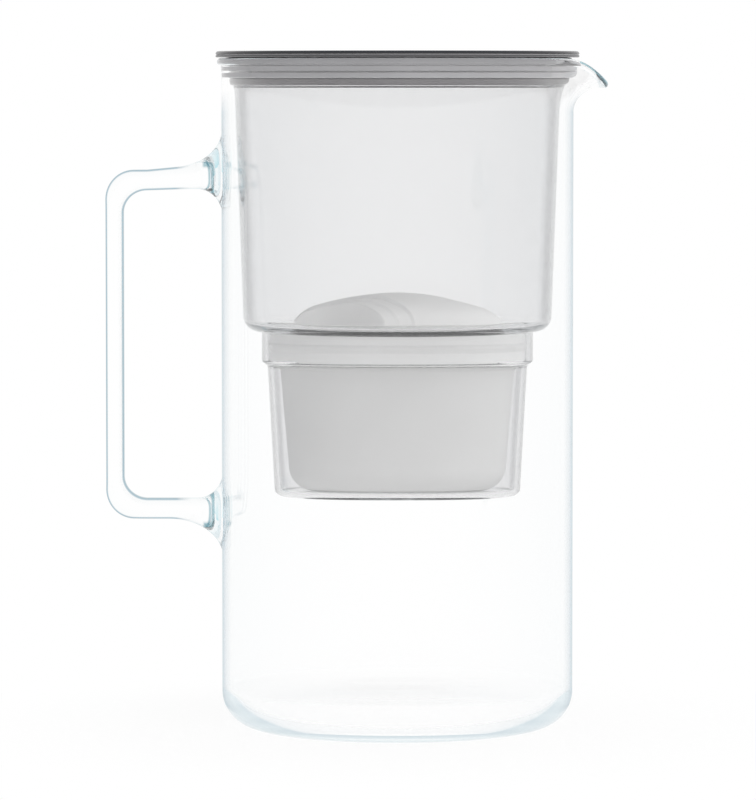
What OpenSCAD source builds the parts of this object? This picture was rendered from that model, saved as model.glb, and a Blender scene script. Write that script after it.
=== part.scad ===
// Water filter pitcher: a glass jug with a fused handle and a pulled spout, a hopper that hangs
// in its mouth on a sealed collar, an oval cartridge in the well under the hopper, and a flat lid.
// Millimetres. +Z is up, +X points at the spout, and the jug stands on z = 0 about the Z axis.

/* [Jug] */
// Outer diameter of the glass wall
jug_d = 145; // [138:1:160]
// Height of the glass rim above the table
jug_h = 276.3; // [255:0.1:300]
// Thickness of the glass wall
glass_t = 2.8; // [2:0.1:3.6]
// Thickness of the glass base
base_t = 5; // [4:0.1:8]
// Radius of the outer corner under the wall
base_round = 15; // [6:0.5:18]
// Radius of the inner corner at the floor
floor_round = 12; // [5:0.5:14]

/* [Rim and spout] */
// How far the rim flares out from the wall
rim_flare = 2.1; // [1:0.1:3]
// Height over which the rim flares
rim_flare_h = 6; // [4:0.5:9]
// How far the spout's tip stands out from the wall
spout_reach = 14.6; // [10:0.2:18]
// How far the underside of the tip lies below the rim
spout_drop = 12.3; // [10:0.1:14]
// Height over which the wall is pulled out into the spout
spout_h = 22.5; // [19:0.1:28]
// Half of the angle that the spout takes up
spout_angle = 30; // [26:1:38]
// How closely the dip of the rim keeps to the spout's middle
spout_dip = 2.8; // [1:0.1:3]

/* [Handle] */
// Distance from the glass wall to the middle of the grip bar
handle_reach = 44; // [36:1:55]
// Distance from the rim down to the middle of the upper arm
handle_drop = 50.4; // [40:0.1:60]
// Distance between the middles of the two arms
handle_span = 135.6; // [110:0.1:150]
// Thickness of the grip bar seen from the side
handle_t = 7.6; // [6:0.2:10]
// Thickness of the two arms seen from the side
arm_t = 8.6; // [6:0.2:10]
// Width of the bar across the jug
handle_w = 15; // [11:0.5:20]
// Bend radius at the middle of the bar
handle_bend = 13.5; // [9:0.5:15]
// Radius of the outer corner round each bend
handle_corner = 12; // [8:0.5:12.5]
// Height of the fillet above the upper root and below the lower root
root_outer_h = 16.5; // [10:0.5:22]
// Length of that fillet along the arm
root_outer_l = 22; // [14:0.5:22]
// Height of the fillet on the finger side of each root
root_inner_h = 12; // [6:0.5:15]
// Length of that fillet along the arm, and of the fillets on both sides
root_inner_l = 10.5; // [8:0.5:14]
// Width of the fillet on both sides of each root
root_side_w = 6; // [3:0.5:9]

/* [Collar and seal] */
// Thickness of the flange that hangs on the rim
flange_t = 0.9; // [0.8:0.1:2]
// How far the flange reaches past the flared rim
flange_over = 0.2; // [0:0.1:1]
// Height of the seal under the flange
seal_h = 8.4; // [7:0.2:11]
// Number of ribs on the seal
seal_ribs = 3; // [2:1:4]
// Depth of the seal from its groove to the tips of the ribs
seal_w = 2.8; // [2.2:0.1:3.4]
// How far each rib stands out of the seal
rib_out = 1.2; // [0.8:0.1:1.6]
// Height of the flat land between two ribs
rib_land = 0.6; // [0.3:0.1:1]
// Gap between the ribs and the glass
seal_gap = 0.35; // [0.3:0.05:0.5]
// Wall of the collar behind the seal
collar_t = 1.8; // [1.4:0.1:2.4]
// Height of the lip under the seal
lip_h = 3; // [2.4:0.1:5]
// Gap between the lip and the glass
lip_gap = 0.5; // [0.3:0.1:0.8]
// How much narrower the lip is at its lower edge
lip_taper = 1.5; // [0.8:0.1:1.8]
// Half of the angle of the tongue that covers the spout
tongue_angle = 11; // [8:0.5:12]
// How far the tongue stays behind the edge of the flange
tongue_back = 0.5; // [0.3:0.1:1.5]

/* [Hopper] */
// Depth of the hopper under the collar
hopper_h = 101; // [80:0.1:115]
// Wall of the hopper
hopper_t = 2.4; // [1.6:0.1:2.8]
// Floor of the hopper
hopper_floor_t = 2.2; // [1.6:0.1:3]
// Draft of the hopper wall in degrees
hopper_draft = 1.9; // [1:0.1:2.4]
// Radius of the corner round the floor
hopper_round = 6.2; // [4:0.2:7]
// Height of the sloped shoulder under the collar
shoulder_h = 5; // [3:0.5:8]
// How far the shoulder slopes in
shoulder_in = 1.1; // [0.6:0.1:1.6]
// Height of the spigot that plugs into the collar
spigot_h = 7; // [5:0.5:8]
// Wall of the spigot
spigot_t = 1.6; // [1.2:0.1:2]

/* [Cartridge well] */
// Ledge of hopper floor outside the ends of the well
ledge_w = 1.3; // [1.2:0.1:6]
// Outer width of the well across the jug
well_w = 78; // [70:1:88]
// Depth of the well under the hopper
well_h = 67.9; // [62:0.1:85]
// Height of the wide band at the top of the well
well_band_h = 12.3; // [11:0.1:18]
// Wall of the well
well_t = 2.2; // [1.6:0.1:2.8]
// Floor of the well
well_floor_t = 1.6; // [1.4:0.1:3]
// How far the well steps in under its band
well_step = 2.4; // [2:0.1:3]
// How much the well narrows on each side from the step to its floor
well_draft = 2.9; // [1.5:0.1:4]
// Radius of the lower corner of the well
well_round = 3; // [2:0.2:5]
// Diameter of the outlet in the middle of the floor
outlet_d = 7; // [5:0.5:10]
// Number of drain slots round the outlet
drain_slots = 8; // [4:1:12]
// Length of each drain slot
drain_l = 9; // [6:0.5:11]
// Width of each drain slot
drain_w = 2.2; // [1.4:0.1:3]

/* [Cartridge] */
// Gap between the cartridge's skirt and the well
skirt_gap = 1.1; // [0.7:0.1:1.5]
// Wall of the cartridge's cap and cup
shell_t = 1.5; // [1.1:0.1:2]
// Gap between the cup and the cap's skirt
weld_gap = 0.1; // [0.05:0.05:0.2]
// Gap between the cup and the well's wall
cup_gap = 2.9; // [1.5:0.1:3.5]
// How much the cup narrows on each side towards its foot
cup_draft = 4.4; // [3:0.1:5]
// Gap under the cup
foot_gap = 0.6; // [0.4:0.1:2]
// Radius of the lower corner of the cup
cup_round = 10; // [6:0.5:13]
// Height of the cap's shoulder above the hopper floor's underside
shoulder_up = 2.8; // [2.4:0.1:5]
// How far the dome stands in from the shoulder's edge
dome_in = 8.8; // [7:0.2:11]
// Height of the dome above its shoulder
dome_h = 12.9; // [9:0.1:16]
// Depth of the two finger recesses in the dome
recess_d = 10; // [4:0.2:11]
// How far each recess reaches from the dome's middle before it turns the corner
recess_l = 34; // [26:1:38]
// Number of inlet slots round the shoulder
inlet_slots = 24; // [12:2:32]
// Length of each inlet slot
inlet_l = 3.4; // [2:0.2:4]
// Width of each inlet slot
inlet_w = 1.6; // [1:0.1:2.4]
// Height of the lip seal on the skirt
lip_seal_h = 3.6; // [2.4:0.2:5]
// Gap between the lip seal and the well
lip_seal_gap = 0.3; // [0.2:0.05:0.5]

/* [Cartridge filling] */
// Thickness of each woven screen
screen_t = 0.8; // [0.5:0.1:1.2]
// Thickness of each fleece pad
fleece_t = 2; // [1:0.2:3]
// Depth of the resin bed at the bottom
resin_h = 26; // [15:0.5:32]
// Gap between the filling and the cup's wall
fill_gap = 0.2; // [0.1:0.05:0.4]
// Gap between the layers of the filling
layer_gap = 0.1; // [0.05:0.05:0.2]

/* [Lid] */
// Thickness of the gasket between the lid and the collar
gasket_t = 0.3; // [0.3:0.1:1]
// How far the gasket stays inside the edge of the lid
gasket_in = 0.3; // [0.2:0.1:1]
// Width of the gasket
gasket_w = 6; // [4:0.5:8]
// Thickness of the lid's plate
lid_t = 1.3; // [1.2:0.1:3]
// Radius on the upper edge of the plate
lid_edge = 0.6; // [0.3:0.1:0.9]
// Diameter of the recessed grip
grip_d = 46; // [36:1:54]
// Depth of the recessed grip
grip_h = 9; // [6:0.5:12]
// Width of the bar across the grip
grip_bar = 11; // [8:0.5:14]
// Wall of the grip's cup
grip_t = 1.6; // [1.2:0.1:2.2]
// Diameter of the vent in each half of the grip
vent_d = 3; // [2:0.2:4]
// Gap between the lid's plug and the collar
plug_gap = 0.3; // [0.2:0.05:0.5]
// Wall of the lid's plug
plug_t = 1.8; // [1.2:0.1:2.6]
// Thickness of the web under the plate
web_t = 1.4; // [1:0.1:1.8]
// Number of stiffening ribs under the web
web_ribs = 8; // [4:1:12]
// Thickness of each stiffening rib
web_rib_t = 1.2; // [0.8:0.1:2]

/* [Hidden] */
$fn = 96;

// Running allowances: an overlap that makes a cut clean, a seam between two glass bands, and
// the slip between the hopper's spigot and the collar
cut = 1;
seam = 0.05;
slip = 0.1;

// Segments on the faceted forms
oval_n = 48;
spout_n = 32;
band_n = 48;
dome_rings = 16;
section_n = 24;

// Radii, from the glass inwards
jug_r = jug_d / 2;
jug_ri = jug_r - glass_t;
flange_r = jug_r + rim_flare + flange_over;
seal_r = jug_ri - seal_gap;
groove_r = seal_r - seal_w;
bore_r = groove_r - collar_t;
lip_r = jug_ri - lip_gap;
lip_low_r = lip_r - lip_taper;
spigot_r = bore_r - slip;
wall_top_r = lip_low_r - shoulder_in;
wall_low_r = wall_top_r - (hopper_h - shoulder_h) * tan(hopper_draft);
plug_r = bore_r - plug_gap;

// Heights, from the rim down and up
flange_z = jug_h + flange_t;
plate_z = flange_z + gasket_t;
lid_top_z = plate_z + lid_t;
seal_z = jug_h - seal_h;
collar_z = seal_z - lip_h;
plug_z = collar_z + spigot_h + plug_gap;
floor_z = collar_z - hopper_h;
well_z = floor_z - well_h;
step_z = floor_z - well_band_h;
band_z = jug_h - spout_h;
handle_top = jug_h - handle_drop;
handle_low = handle_top - handle_span;

// Half lengths of the ovals along X; the half width is always this much less than the half length
well_a = wall_low_r - hopper_round - ledge_w;
oval_diff = well_a - well_w / 2;
band_in_a = well_a - well_t;
well_low_a = well_a - well_step;
skirt_a = band_in_a - skirt_gap;
skirt_in_a = skirt_a - shell_t;
rim_a = skirt_in_a - weld_gap;
cup_a = well_low_a - well_t - cup_gap;

// Heights in the cartridge
cup_z = well_z + well_floor_t + foot_gap;
shoulder_z = floor_z + shoulder_up;
cap_in_z = shoulder_z - shell_t;
rim_z = cap_in_z - weld_gap;
inside_z = cup_z + shell_t;
inlet_screen_z = rim_z - screen_t - layer_gap;
inlet_fleece_z = inlet_screen_z - fleece_t - layer_gap;
outlet_fleece_z = inside_z + screen_t + layer_gap;
resin_z = outlet_fleece_z + fleece_t + layer_gap;
divider_z = resin_z + resin_h + layer_gap;
carbon_z = divider_z + fleece_t + layer_gap;

// Points on an arc, in the plane of a profile
function arc(r, z, radius, from, to, n = 8) =
    [for (i = [0:n]) let (t = from + (to - from) * i / n) [r + radius * cos(t), z + radius * sin(t)]];

// A soft step from 0 at low to 1 at high
function ease(x, low, high) = let (t = min(1, max(0, (x - low) / (high - low)))) t * t * (3 - 2 * t);

// A power of a number that may be negative
function signed_pow(x, p) = sign(x) * pow(abs(x), p);

// The oval that the well and cartridge share, a little squarer than an ellipse
oval_power = 2.5;
function oval_point(a, turn) = [
    a * signed_pow(cos(turn), 2 / oval_power),
    (a - oval_diff) * signed_pow(sin(turn), 2 / oval_power)
];
function oval_ring(a, z) = [for (j = [0:oval_n - 1]) concat(oval_point(a, 360 * j / oval_n), z)];
function oval_rings(profile) = [for (p = profile) each oval_ring(p[0], p[1])];

// Triangles of a grid whose rows are closed rings, clockwise from outside
function grid_faces(rows, cols, closed) = [
    for (i = [0:rows - (closed ? 1 : 2)], j = [0:cols - 1])
        let (a = i * cols + j, b = i * cols + (j + 1) % cols, up = ((i + 1) % rows) * cols)
            each [[a, up + j, up + (j + 1) % cols], [a, up + (j + 1) % cols, b]]
];
function first_cap(cols) = [for (j = [0:cols - 1]) j];
function last_cap(rows, cols) = [for (j = [0:cols - 1]) rows * cols - 1 - j];

// Rings of points joined into one solid, as a closed loop or with a flat face at both ends
module ringed(points, cols, closed) {
    rows = len(points) / cols;
    ends = closed ? [] : [first_cap(cols), last_cap(rows, cols)];
    polyhedron(points, concat(grid_faces(rows, cols, closed), ends), convexity = 8);
}

// An oval solid or cup from its lowest outer ring to its last ring, which is its top or its floor
module oval_stack(profile) {
    ringed(oval_rings(profile), oval_n, false);
}

module turned(profile) {
    rotate_extrude() polygon(profile);
}

// Glass jug

// Share of the spout in the wall at an angle from the spout's middle
function spout_share(turn) = abs(turn) < spout_angle ? (1 + cos(180 * turn / spout_angle)) / 2 : 0;

// The wall's outside up to the rim, plain and at the spout's middle
rim_end_z = jug_h - glass_t / 2 + seam;
spout_rise = jug_h - spout_drop - band_z;
function plain_out(u) = let (z = band_z + (rim_end_z - band_z) * u)
    [jug_r - seam + rim_flare * ease(z, jug_h - rim_flare_h, jug_h), z];
function spout_out(u) = [
    jug_r - seam + (spout_reach - glass_t / 2) * (1 - cos(90 * u)),
    band_z + spout_rise * sin(90 * u)
];

// The band's outside for a share of the spout, and its inside: level across the plain wall and
// square to the spout's
slope_step = 0.01;
function band_out(u, w) = let (a = plain_out(u), b = spout_out(u))
    [a[0] + (b[0] - a[0]) * w, a[1] + (b[1] - a[1]) * pow(w, spout_dip)];
function band_in(u, w) = let (
    run = band_out(u + slope_step, w) - band_out(u - slope_step, w),
    square = [-run[1], run[0]] / norm(run)
) band_out(u, w) + ([-1, 0] * (1 - w) + square * w) * (glass_t - 2 * seam);

// One column of the rim band at an angle: up the outside, over the rounded rim and down the inside
band_rows = 8;
rim_rows = 4;
function rim_column(turn) = let (
    w = spout_share(turn),
    shares = [for (i = [0:band_rows]) i / band_rows],
    out = [for (u = shares) band_out(u, w)],
    in = [for (u = shares) band_in(u, w)],
    across = (out[band_rows] - in[band_rows]) / 2,
    middle = (out[band_rows] + in[band_rows]) / 2,
    along = [-across[1], across[0]]
) concat(
    [[out[0][0], band_z - cut]],
    out,
    [for (k = [1:rim_rows - 1]) let (t = 180 * k / rim_rows) middle + across * cos(t) + along * sin(t)],
    [for (i = [0:band_rows]) in[band_rows - i]],
    [[in[0][0], band_z - cut]]
);

// Angles of the columns, close together across the spout
rim_turns = concat(
    [for (j = [0:spout_n - 1]) -spout_angle + 2 * spout_angle * j / spout_n],
    [for (j = [0:band_n - 1]) spout_angle + (360 - 2 * spout_angle) * j / band_n]
);

module rim_band() {
    columns = [for (turn = rim_turns) rim_column(turn)];
    cols = len(rim_turns);
    points = [for (i = [0:len(columns[0]) - 1], j = [0:cols - 1])
        let (p = columns[j][i], turn = rim_turns[j]) [p[0] * cos(turn), p[0] * sin(turn), p[1]]];
    ringed(points, cols, true);
}

module glass_jug() {
    color("azure", 0.35) union() {
        turned(concat(
            [[0, 0]],
            arc(jug_r - base_round, base_round, base_round, 270, 360),
            [[jug_r, band_z], [jug_ri, band_z]],
            arc(jug_ri - floor_round, base_t + floor_round, floor_round, 0, -90),
            [[0, base_t]]
        ));
        rim_band();
    }
}

// Glass handle

// Extra half size of a root fillet at a distance from the wall
root_start = 0.5;
root_steps = 8;
function fillet(size, length, gap) = let (g = min(length, max(root_start, gap)))
    size * (1 - sqrt(1 - pow(1 - g / length, 2)));

// Distances from the wall along an arm, close together where the fillet is steep
root_l = max(root_outer_l, root_inner_l);
root_gaps = [for (i = [0:root_steps]) root_start + (root_l - root_start) * pow(i / root_steps, 2)];
arm_gaps = concat([-glass_t / 2], root_gaps);

// Distance from the middle of a bend to its outer corner, at an angle along the bend
function corner_reach(size, turn) = let (
    t = min(turn, 90 - turn),
    inset = size - handle_corner,
    along = inset * (sin(t) + cos(t))
) tan(t) < inset / size ? size / cos(t)
    : along + sqrt(pow(handle_corner, 2) - 2 * pow(inset, 2) + pow(along, 2));

// Stations along the bar: [x, z, direction, distance from the wall, outer half, inner half]
bend_x = handle_bend - handle_reach - jug_r;
bend_steps = 8;
function bend(z, from, half_from, half_to) = [for (i = [0:bend_steps]) let (
    t = 90 * i / bend_steps,
    half = half_from + (half_to - half_from) * ease(t, 0, 90)
) [
    bend_x - handle_bend * sin(from + t), z + handle_bend * cos(from + t), from + t, root_l,
    corner_reach(handle_bend + half, t) - handle_bend, half
]];
arm_half = arm_t / 2;
bar_half = handle_t / 2;
stations = concat(
    [for (g = arm_gaps) [-jug_r - g, handle_top, 0, g, arm_half, arm_half]],
    bend(handle_top - handle_bend, 0, arm_half, bar_half),
    bend(handle_low + handle_bend, 90, bar_half, arm_half),
    [for (i = [len(arm_gaps) - 1:-1:0])
        [-jug_r - arm_gaps[i], handle_low, 180, arm_gaps[i], arm_half, arm_half]]
);

// The bar's section at a station, a rounded rectangle that grows into the fillets
section_power = 2.6;
function bar_section(s) = [for (k = [0:section_n - 1]) let (
    turn = 360 * k / section_n,
    along = signed_pow(cos(turn), 2 / section_power),
    across = signed_pow(sin(turn), 2 / section_power),
    outer = s[4] + fillet(root_outer_h, root_outer_l, s[3]),
    inner = s[5] + fillet(root_inner_h, root_inner_l, s[3]),
    half = along > 0 ? outer : inner,
    side = handle_w / 2 + fillet(root_side_w, root_inner_l, s[3])
) [s[0] - half * along * sin(s[2]), side * across, s[1] + half * along * cos(s[2])]];

module glass_handle() {
    color("azure", 0.35) difference() {
        ringed([for (s = stations) each bar_section(s)], section_n, false);
        translate([0, 0, -cut]) cylinder(r = jug_r, h = jug_h);
    }
}

// Collar, seal and hopper

module hopper_collar() {
    color("dimgray") turned([
        [bore_r, collar_z], [lip_low_r, collar_z], [lip_r, seal_z - lip_h / 3], [lip_r, seal_z],
        [groove_r, seal_z], [groove_r, jug_h], [flange_r, jug_h], [flange_r, flange_z],
        [bore_r, flange_z]
    ]);
}

// Ribs in half rounds down the seal, with a small land between them, and the tongue at the spout
module collar_seal() {
    pitch = seal_h / seal_ribs;
    root_r = seal_r - rib_out;
    rib_half = pitch / 2 - rib_land / 2;
    rib_steps = 6;
    ribs = [for (i = [0:seal_ribs - 1], k = [0:rib_steps]) let (t = -90 + 180 * k / rib_steps)
        [root_r + rib_out * cos(t), seal_z + pitch * (i + 0.5) + rib_half * sin(t)]];
    tongue_r = flange_r - tongue_back;
    tongue_in = groove_r + slip;
    color("gray") union() {
        turned(concat([[groove_r, seal_z], [root_r, seal_z]], ribs, [[root_r, jug_h], [groove_r, jug_h]]));
        rotate(-tongue_angle) rotate_extrude(angle = 2 * tongue_angle) polygon(concat(
            [[tongue_in, seal_z + slip]],
            arc(tongue_r - seal_w, seal_z + seal_w, seal_w - slip, -90, 0, 6),
            [[tongue_r - slip, jug_h - slip], [tongue_in, jug_h - slip]]
        ));
    }
}

// Outer radius of the hopper's wall at a height under the shoulder
function wall_r(z) = wall_low_r + (z - floor_z) * tan(hopper_draft);

module hopper() {
    inner_round = hopper_round - hopper_t / 2;
    inner_z = floor_z + hopper_floor_t;
    turn_z = collar_z - shoulder_h;
    spigot_in = spigot_r - spigot_t;
    outer_corner = floor_z + hopper_round;
    inner_corner = inner_z + inner_round;
    color("gainsboro", 0.5) difference() {
        turned(concat(
            [[0, floor_z]],
            arc(wall_r(outer_corner) - hopper_round, outer_corner, hopper_round, 270, 360),
            [[wall_top_r, turn_z], [lip_low_r, collar_z], [spigot_r, collar_z],
             [spigot_r, collar_z + spigot_h], [spigot_in, collar_z + spigot_h],
             [spigot_in, turn_z], [wall_r(turn_z - shoulder_h) - hopper_t, turn_z - shoulder_h]],
            arc(wall_r(inner_corner) - hopper_t - inner_round, inner_corner, inner_round, 0, -90),
            [[0, inner_z]]
        ));
        translate([0, 0, floor_z - cut]) linear_extrude(hopper_floor_t + 2 * cut)
            polygon([for (p = oval_ring(band_in_a, 0)) [p[0], p[1]]]);
    }
}

// Slots that run outwards from a circle round the axis
module drain_slots_cut(from_r, z, depth, start) {
    for (i = [0:drain_slots - 1]) rotate(start + 360 * i / drain_slots)
        translate([from_r, -drain_w / 2, z - cut]) cube([drain_l, drain_w, depth + 2 * cut]);
}

// Outer half length of the well at a height under its step
function well_side(z) = well_low_a - well_draft * (step_z - z) / (step_z - well_z);

module cartridge_well() {
    corner_z = well_z + well_round;
    side_a = well_side(corner_z);
    floor_a = side_a - well_round;
    color("gainsboro", 0.5) difference() {
        oval_stack(concat(
            arc(floor_a, corner_z, well_round, -90, 0, 3),
            [[well_low_a, step_z - well_t], [well_a, step_z], [well_a, floor_z], [band_in_a, floor_z],
             [band_in_a, step_z], [well_low_a - well_t, step_z], [side_a - well_t, corner_z],
             [floor_a - well_t, well_z + well_floor_t]]
        ));
        translate([0, 0, well_z - cut]) cylinder(d = outlet_d, h = well_floor_t + 2 * cut);
        drain_slots_cut(outlet_d, well_z, well_floor_t, 180 / drain_slots);
    }
}

// Cartridge

// Outer half length of the cup at a height under the well's step
function cup_side(z) = cup_a - cup_draft * (step_z - z) / (step_z - cup_z);

// The cup's inside from its floor to its rim, as [half length, z]
cup_corner_z = cup_z + cup_round;
in_round = cup_round - shell_t;
in_flat_a = cup_side(cup_corner_z) - cup_round;
corner_steps = 5;
cup_inner = concat(
    arc(in_flat_a, cup_corner_z, in_round, -90, 0, corner_steps),
    [[cup_a - shell_t, step_z - cup_gap], [rim_a - shell_t, step_z], [rim_a - shell_t, rim_z]]
);

module cartridge_cup() {
    last = len(cup_inner) - 1;
    color("whitesmoke") difference() {
        oval_stack(concat(
            arc(in_flat_a, cup_corner_z, cup_round, -90, 0, corner_steps),
            [[cup_a, step_z - cup_gap], [rim_a, step_z], [rim_a, rim_z]],
            [for (i = [last:-1:0]) cup_inner[i]]
        ));
        drain_slots_cut(outlet_d / 2, cup_z, shell_t, 0);
    }
}

// Distance from the edge of the front left recess, positive inside it; the edge runs along the
// dome's length and then sweeps round to its front
dome_a = skirt_a - dome_in;
dome_b = dome_a - oval_diff;
recess_past = 1.6;
recess_power = 1.6;
function into_recess(x, y) = let (
    sweep_l = recess_l + recess_past,
    run = max(0, (x + recess_l) / sweep_l),
    lean = recess_power * dome_b / sweep_l * pow(run, recess_power - 1)
) -(y + dome_b * pow(run, recess_power)) / norm([1, lean]);

// Height of the dome over a point of the oval, with a recess front left and one back right; the
// underside's recesses are wider by the wall
recess_soft = [4, 7];
recess_share = 0.93;
crown_powers = [1.6, 9];
function recess_dip(x, y, wider) = ease(into_recess(x, y) + wider, 0,
    recess_soft[0] + (recess_soft[1] - recess_soft[0]) * ease(x, -recess_l / 2, 0));
function dome_z(x, y, share, wider) = let (
    crown = dome_h * (1 - pow(share, crown_powers[0]) / 2 - pow(share, crown_powers[1]) / 2),
    dip = max(recess_dip(x, y, wider), recess_dip(-x, -y, wider))
) crown - dip * min(recess_d, crown * recess_share);

// A ring of the dome at a share of its size, on top or under the wall
function dome_ring(share, wall) = [for (q = oval_ring(dome_a, shoulder_z)) let (
    x = q[0] * share,
    y = q[1] * share
) [x * (1 - wall / dome_a), y * (1 - wall / dome_b), q[2] + dome_z(x, y, share, wall) - wall]];

// A solid from the given rings up over the dome, whose rings lie closer together near its foot
ring_power = 1.3;
module domed(edge, wall) {
    shares = [for (i = [0:dome_rings - 1]) 1 - pow(i / dome_rings, ring_power)];
    ringed(concat(oval_rings(edge), [for (s = shares) each dome_ring(s, wall)]), oval_n, false);
}

module cartridge_cap() {
    slot_a = dome_a + (skirt_a - shell_t - dome_a) / 2;
    color("whitesmoke") difference() {
        domed([[skirt_a, step_z], [skirt_a, cap_in_z], [skirt_a - shell_t, shoulder_z]], 0);
        domed([[skirt_in_a, step_z - cut], [skirt_in_a, cap_in_z]], shell_t);
        for (p = [for (i = [0:inlet_slots - 1]) oval_point(slot_a, 360 * (i + 0.5) / inlet_slots)])
            translate([p[0], p[1], cap_in_z - cut]) rotate(atan2(p[1], p[0]))
                translate([-inlet_l / 2, -inlet_w / 2, 0]) cube([inlet_l, inlet_w, shell_t + 2 * cut]);
    }
}

module cartridge_seal() {
    middle_z = (step_z + floor_z) / 2;
    tip_a = band_in_a - lip_seal_gap;
    color("lightgray") ringed(oval_rings([
        [skirt_a, middle_z - lip_seal_h / 2], [tip_a, middle_z], [tip_a, middle_z + lip_seal_h / 4],
        [skirt_a, middle_z + lip_seal_h / 2]
    ]), oval_n, true);
}

// A layer of the filling follows the cup's inside from one height to another
function cup_inside(z) = lookup(z, [for (p = cup_inner) [p[1], p[0]]]);
module layer(low, high) {
    knots = [for (p = cup_inner) if (p[1] > low + layer_gap && p[1] < high - layer_gap) p[1]];
    oval_stack([for (z = concat(low, knots, high)) [cup_inside(z) - fill_gap, z]]);
}

module inlet_screen() color("lightgray") layer(inlet_screen_z, inlet_screen_z + screen_t);
module inlet_fleece() color("white") layer(inlet_fleece_z, inlet_fleece_z + fleece_t);
module carbon_bed() color("black") layer(carbon_z, inlet_fleece_z - layer_gap);
module divider_fleece() color("white") layer(divider_z, divider_z + fleece_t);
module resin_bed() color("goldenrod") layer(resin_z, resin_z + resin_h);
module outlet_fleece() color("white") layer(outlet_fleece_z, outlet_fleece_z + fleece_t);
module outlet_screen() color("lightgray") layer(inside_z, inside_z + screen_t);

// Lid

module lid_cover() {
    grip_r = grip_d / 2;
    grip_z = lid_top_z - grip_h;
    low_z = grip_z - grip_t;
    cup_r = grip_r + grip_t;
    vent_y = (grip_bar / 2 + grip_r) / 2;
    color("dimgray") difference() {
        union() {
            turned(concat(
                [[0, low_z], [cup_r, low_z], [cup_r, plate_z], [flange_r, plate_z]],
                arc(flange_r - lid_edge, lid_top_z - lid_edge, lid_edge, 0, 90, 4),
                [[grip_r, lid_top_z], [grip_r, grip_z], [0, grip_z]]
            ));
            intersection() {
                translate([-cup_r, -grip_bar / 2, low_z]) cube([2 * cup_r, grip_bar, grip_h + grip_t]);
                translate([0, 0, low_z + grip_t / 2])
                    cylinder(r = grip_r + grip_t / 2, h = grip_h + grip_t / 2);
            }
        }
        for (side = [-1, 1]) translate([0, side * vent_y, low_z - cut])
            cylinder(d = vent_d, h = grip_t + 2 * cut);
    }
}

module lid_underplate() {
    hub_r = grip_d / 2 + grip_t + slip;
    rib_r = hub_r + plug_t;
    rib_z = plug_z + plug_gap;
    color("dimgray") union() {
        turned([
            [hub_r, plate_z - web_t], [plug_r - plug_t, plate_z - web_t], [plug_r - plug_t, plug_z],
            [plug_r, plug_z], [plug_r, plate_z], [hub_r, plate_z]
        ]);
        for (i = [0:web_ribs - 1]) rotate(360 * i / web_ribs)
            translate([rib_r, -web_rib_t / 2, rib_z])
                cube([plug_r - plug_t / 2 - rib_r, web_rib_t, plate_z - web_t / 2 - rib_z]);
    }
}

module lid_gasket() {
    gasket_r = flange_r - gasket_in;
    color("silver") turned([
        [gasket_r - gasket_w, flange_z], [gasket_r, flange_z],
        [gasket_r, plate_z], [gasket_r - gasket_w, plate_z]
    ]);
}

glass_jug();
glass_handle();
hopper_collar();
collar_seal();
hopper();
cartridge_well();
lid_cover();
lid_underplate();
lid_gasket();
cartridge_cup();
cartridge_cap();
cartridge_seal();
inlet_screen();
inlet_fleece();
carbon_bed();
divider_fleece();
resin_bed();
outlet_fleece();
outlet_screen();
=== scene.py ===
# %% [markdown]
# # A glass water filter pitcher
# The pitcher is a straight glass jug with a handle fused to one side and a spout pulled out of
# its rim on the other. A clear hopper hangs in its mouth on a sealed collar, an oval filter
# cartridge stands in a well under the hopper, and a flat lid closes the top. The frame holds the
# measured solids, so each cell below makes one piece finer, or gives it its finish, in its place.

# %% Load the frame
import math

import bmesh
import bpy
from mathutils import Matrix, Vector


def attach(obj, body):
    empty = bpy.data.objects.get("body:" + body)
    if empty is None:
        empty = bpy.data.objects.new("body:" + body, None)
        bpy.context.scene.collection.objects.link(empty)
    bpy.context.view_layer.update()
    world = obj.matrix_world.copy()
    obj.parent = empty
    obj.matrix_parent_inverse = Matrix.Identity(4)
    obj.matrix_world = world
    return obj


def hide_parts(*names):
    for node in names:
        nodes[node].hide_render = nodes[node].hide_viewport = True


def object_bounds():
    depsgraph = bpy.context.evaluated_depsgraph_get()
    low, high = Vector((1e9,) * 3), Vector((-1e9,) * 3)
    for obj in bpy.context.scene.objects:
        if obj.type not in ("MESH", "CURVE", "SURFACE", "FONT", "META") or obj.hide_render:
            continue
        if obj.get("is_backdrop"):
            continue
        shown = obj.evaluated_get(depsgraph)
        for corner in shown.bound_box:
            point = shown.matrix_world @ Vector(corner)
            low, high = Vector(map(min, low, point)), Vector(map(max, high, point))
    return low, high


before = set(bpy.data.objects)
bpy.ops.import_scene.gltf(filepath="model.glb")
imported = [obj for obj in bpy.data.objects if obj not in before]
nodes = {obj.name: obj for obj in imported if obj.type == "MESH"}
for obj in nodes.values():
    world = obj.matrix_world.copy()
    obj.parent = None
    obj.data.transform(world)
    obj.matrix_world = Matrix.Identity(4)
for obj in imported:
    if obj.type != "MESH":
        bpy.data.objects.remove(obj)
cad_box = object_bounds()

scene = bpy.context.scene

# %% [markdown]
# ## The camera
# The picture is taken from the side, with a long lens at about the height of the collar, so the
# rim is nearly a straight line and the base is a flat ellipse. A small tilt brings the foot of
# the jug into the frame, and no lens shift is needed.

# %% Camera
LENS = 237.95
TILT = 3.5
CAMERA_AT = (-0.008, -2.18, 0.2684)


def placed(name, data):
    """An object in the scene that shows some data."""
    thing = bpy.data.objects.new(name, data)
    scene.collection.objects.link(thing)
    return thing


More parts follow.
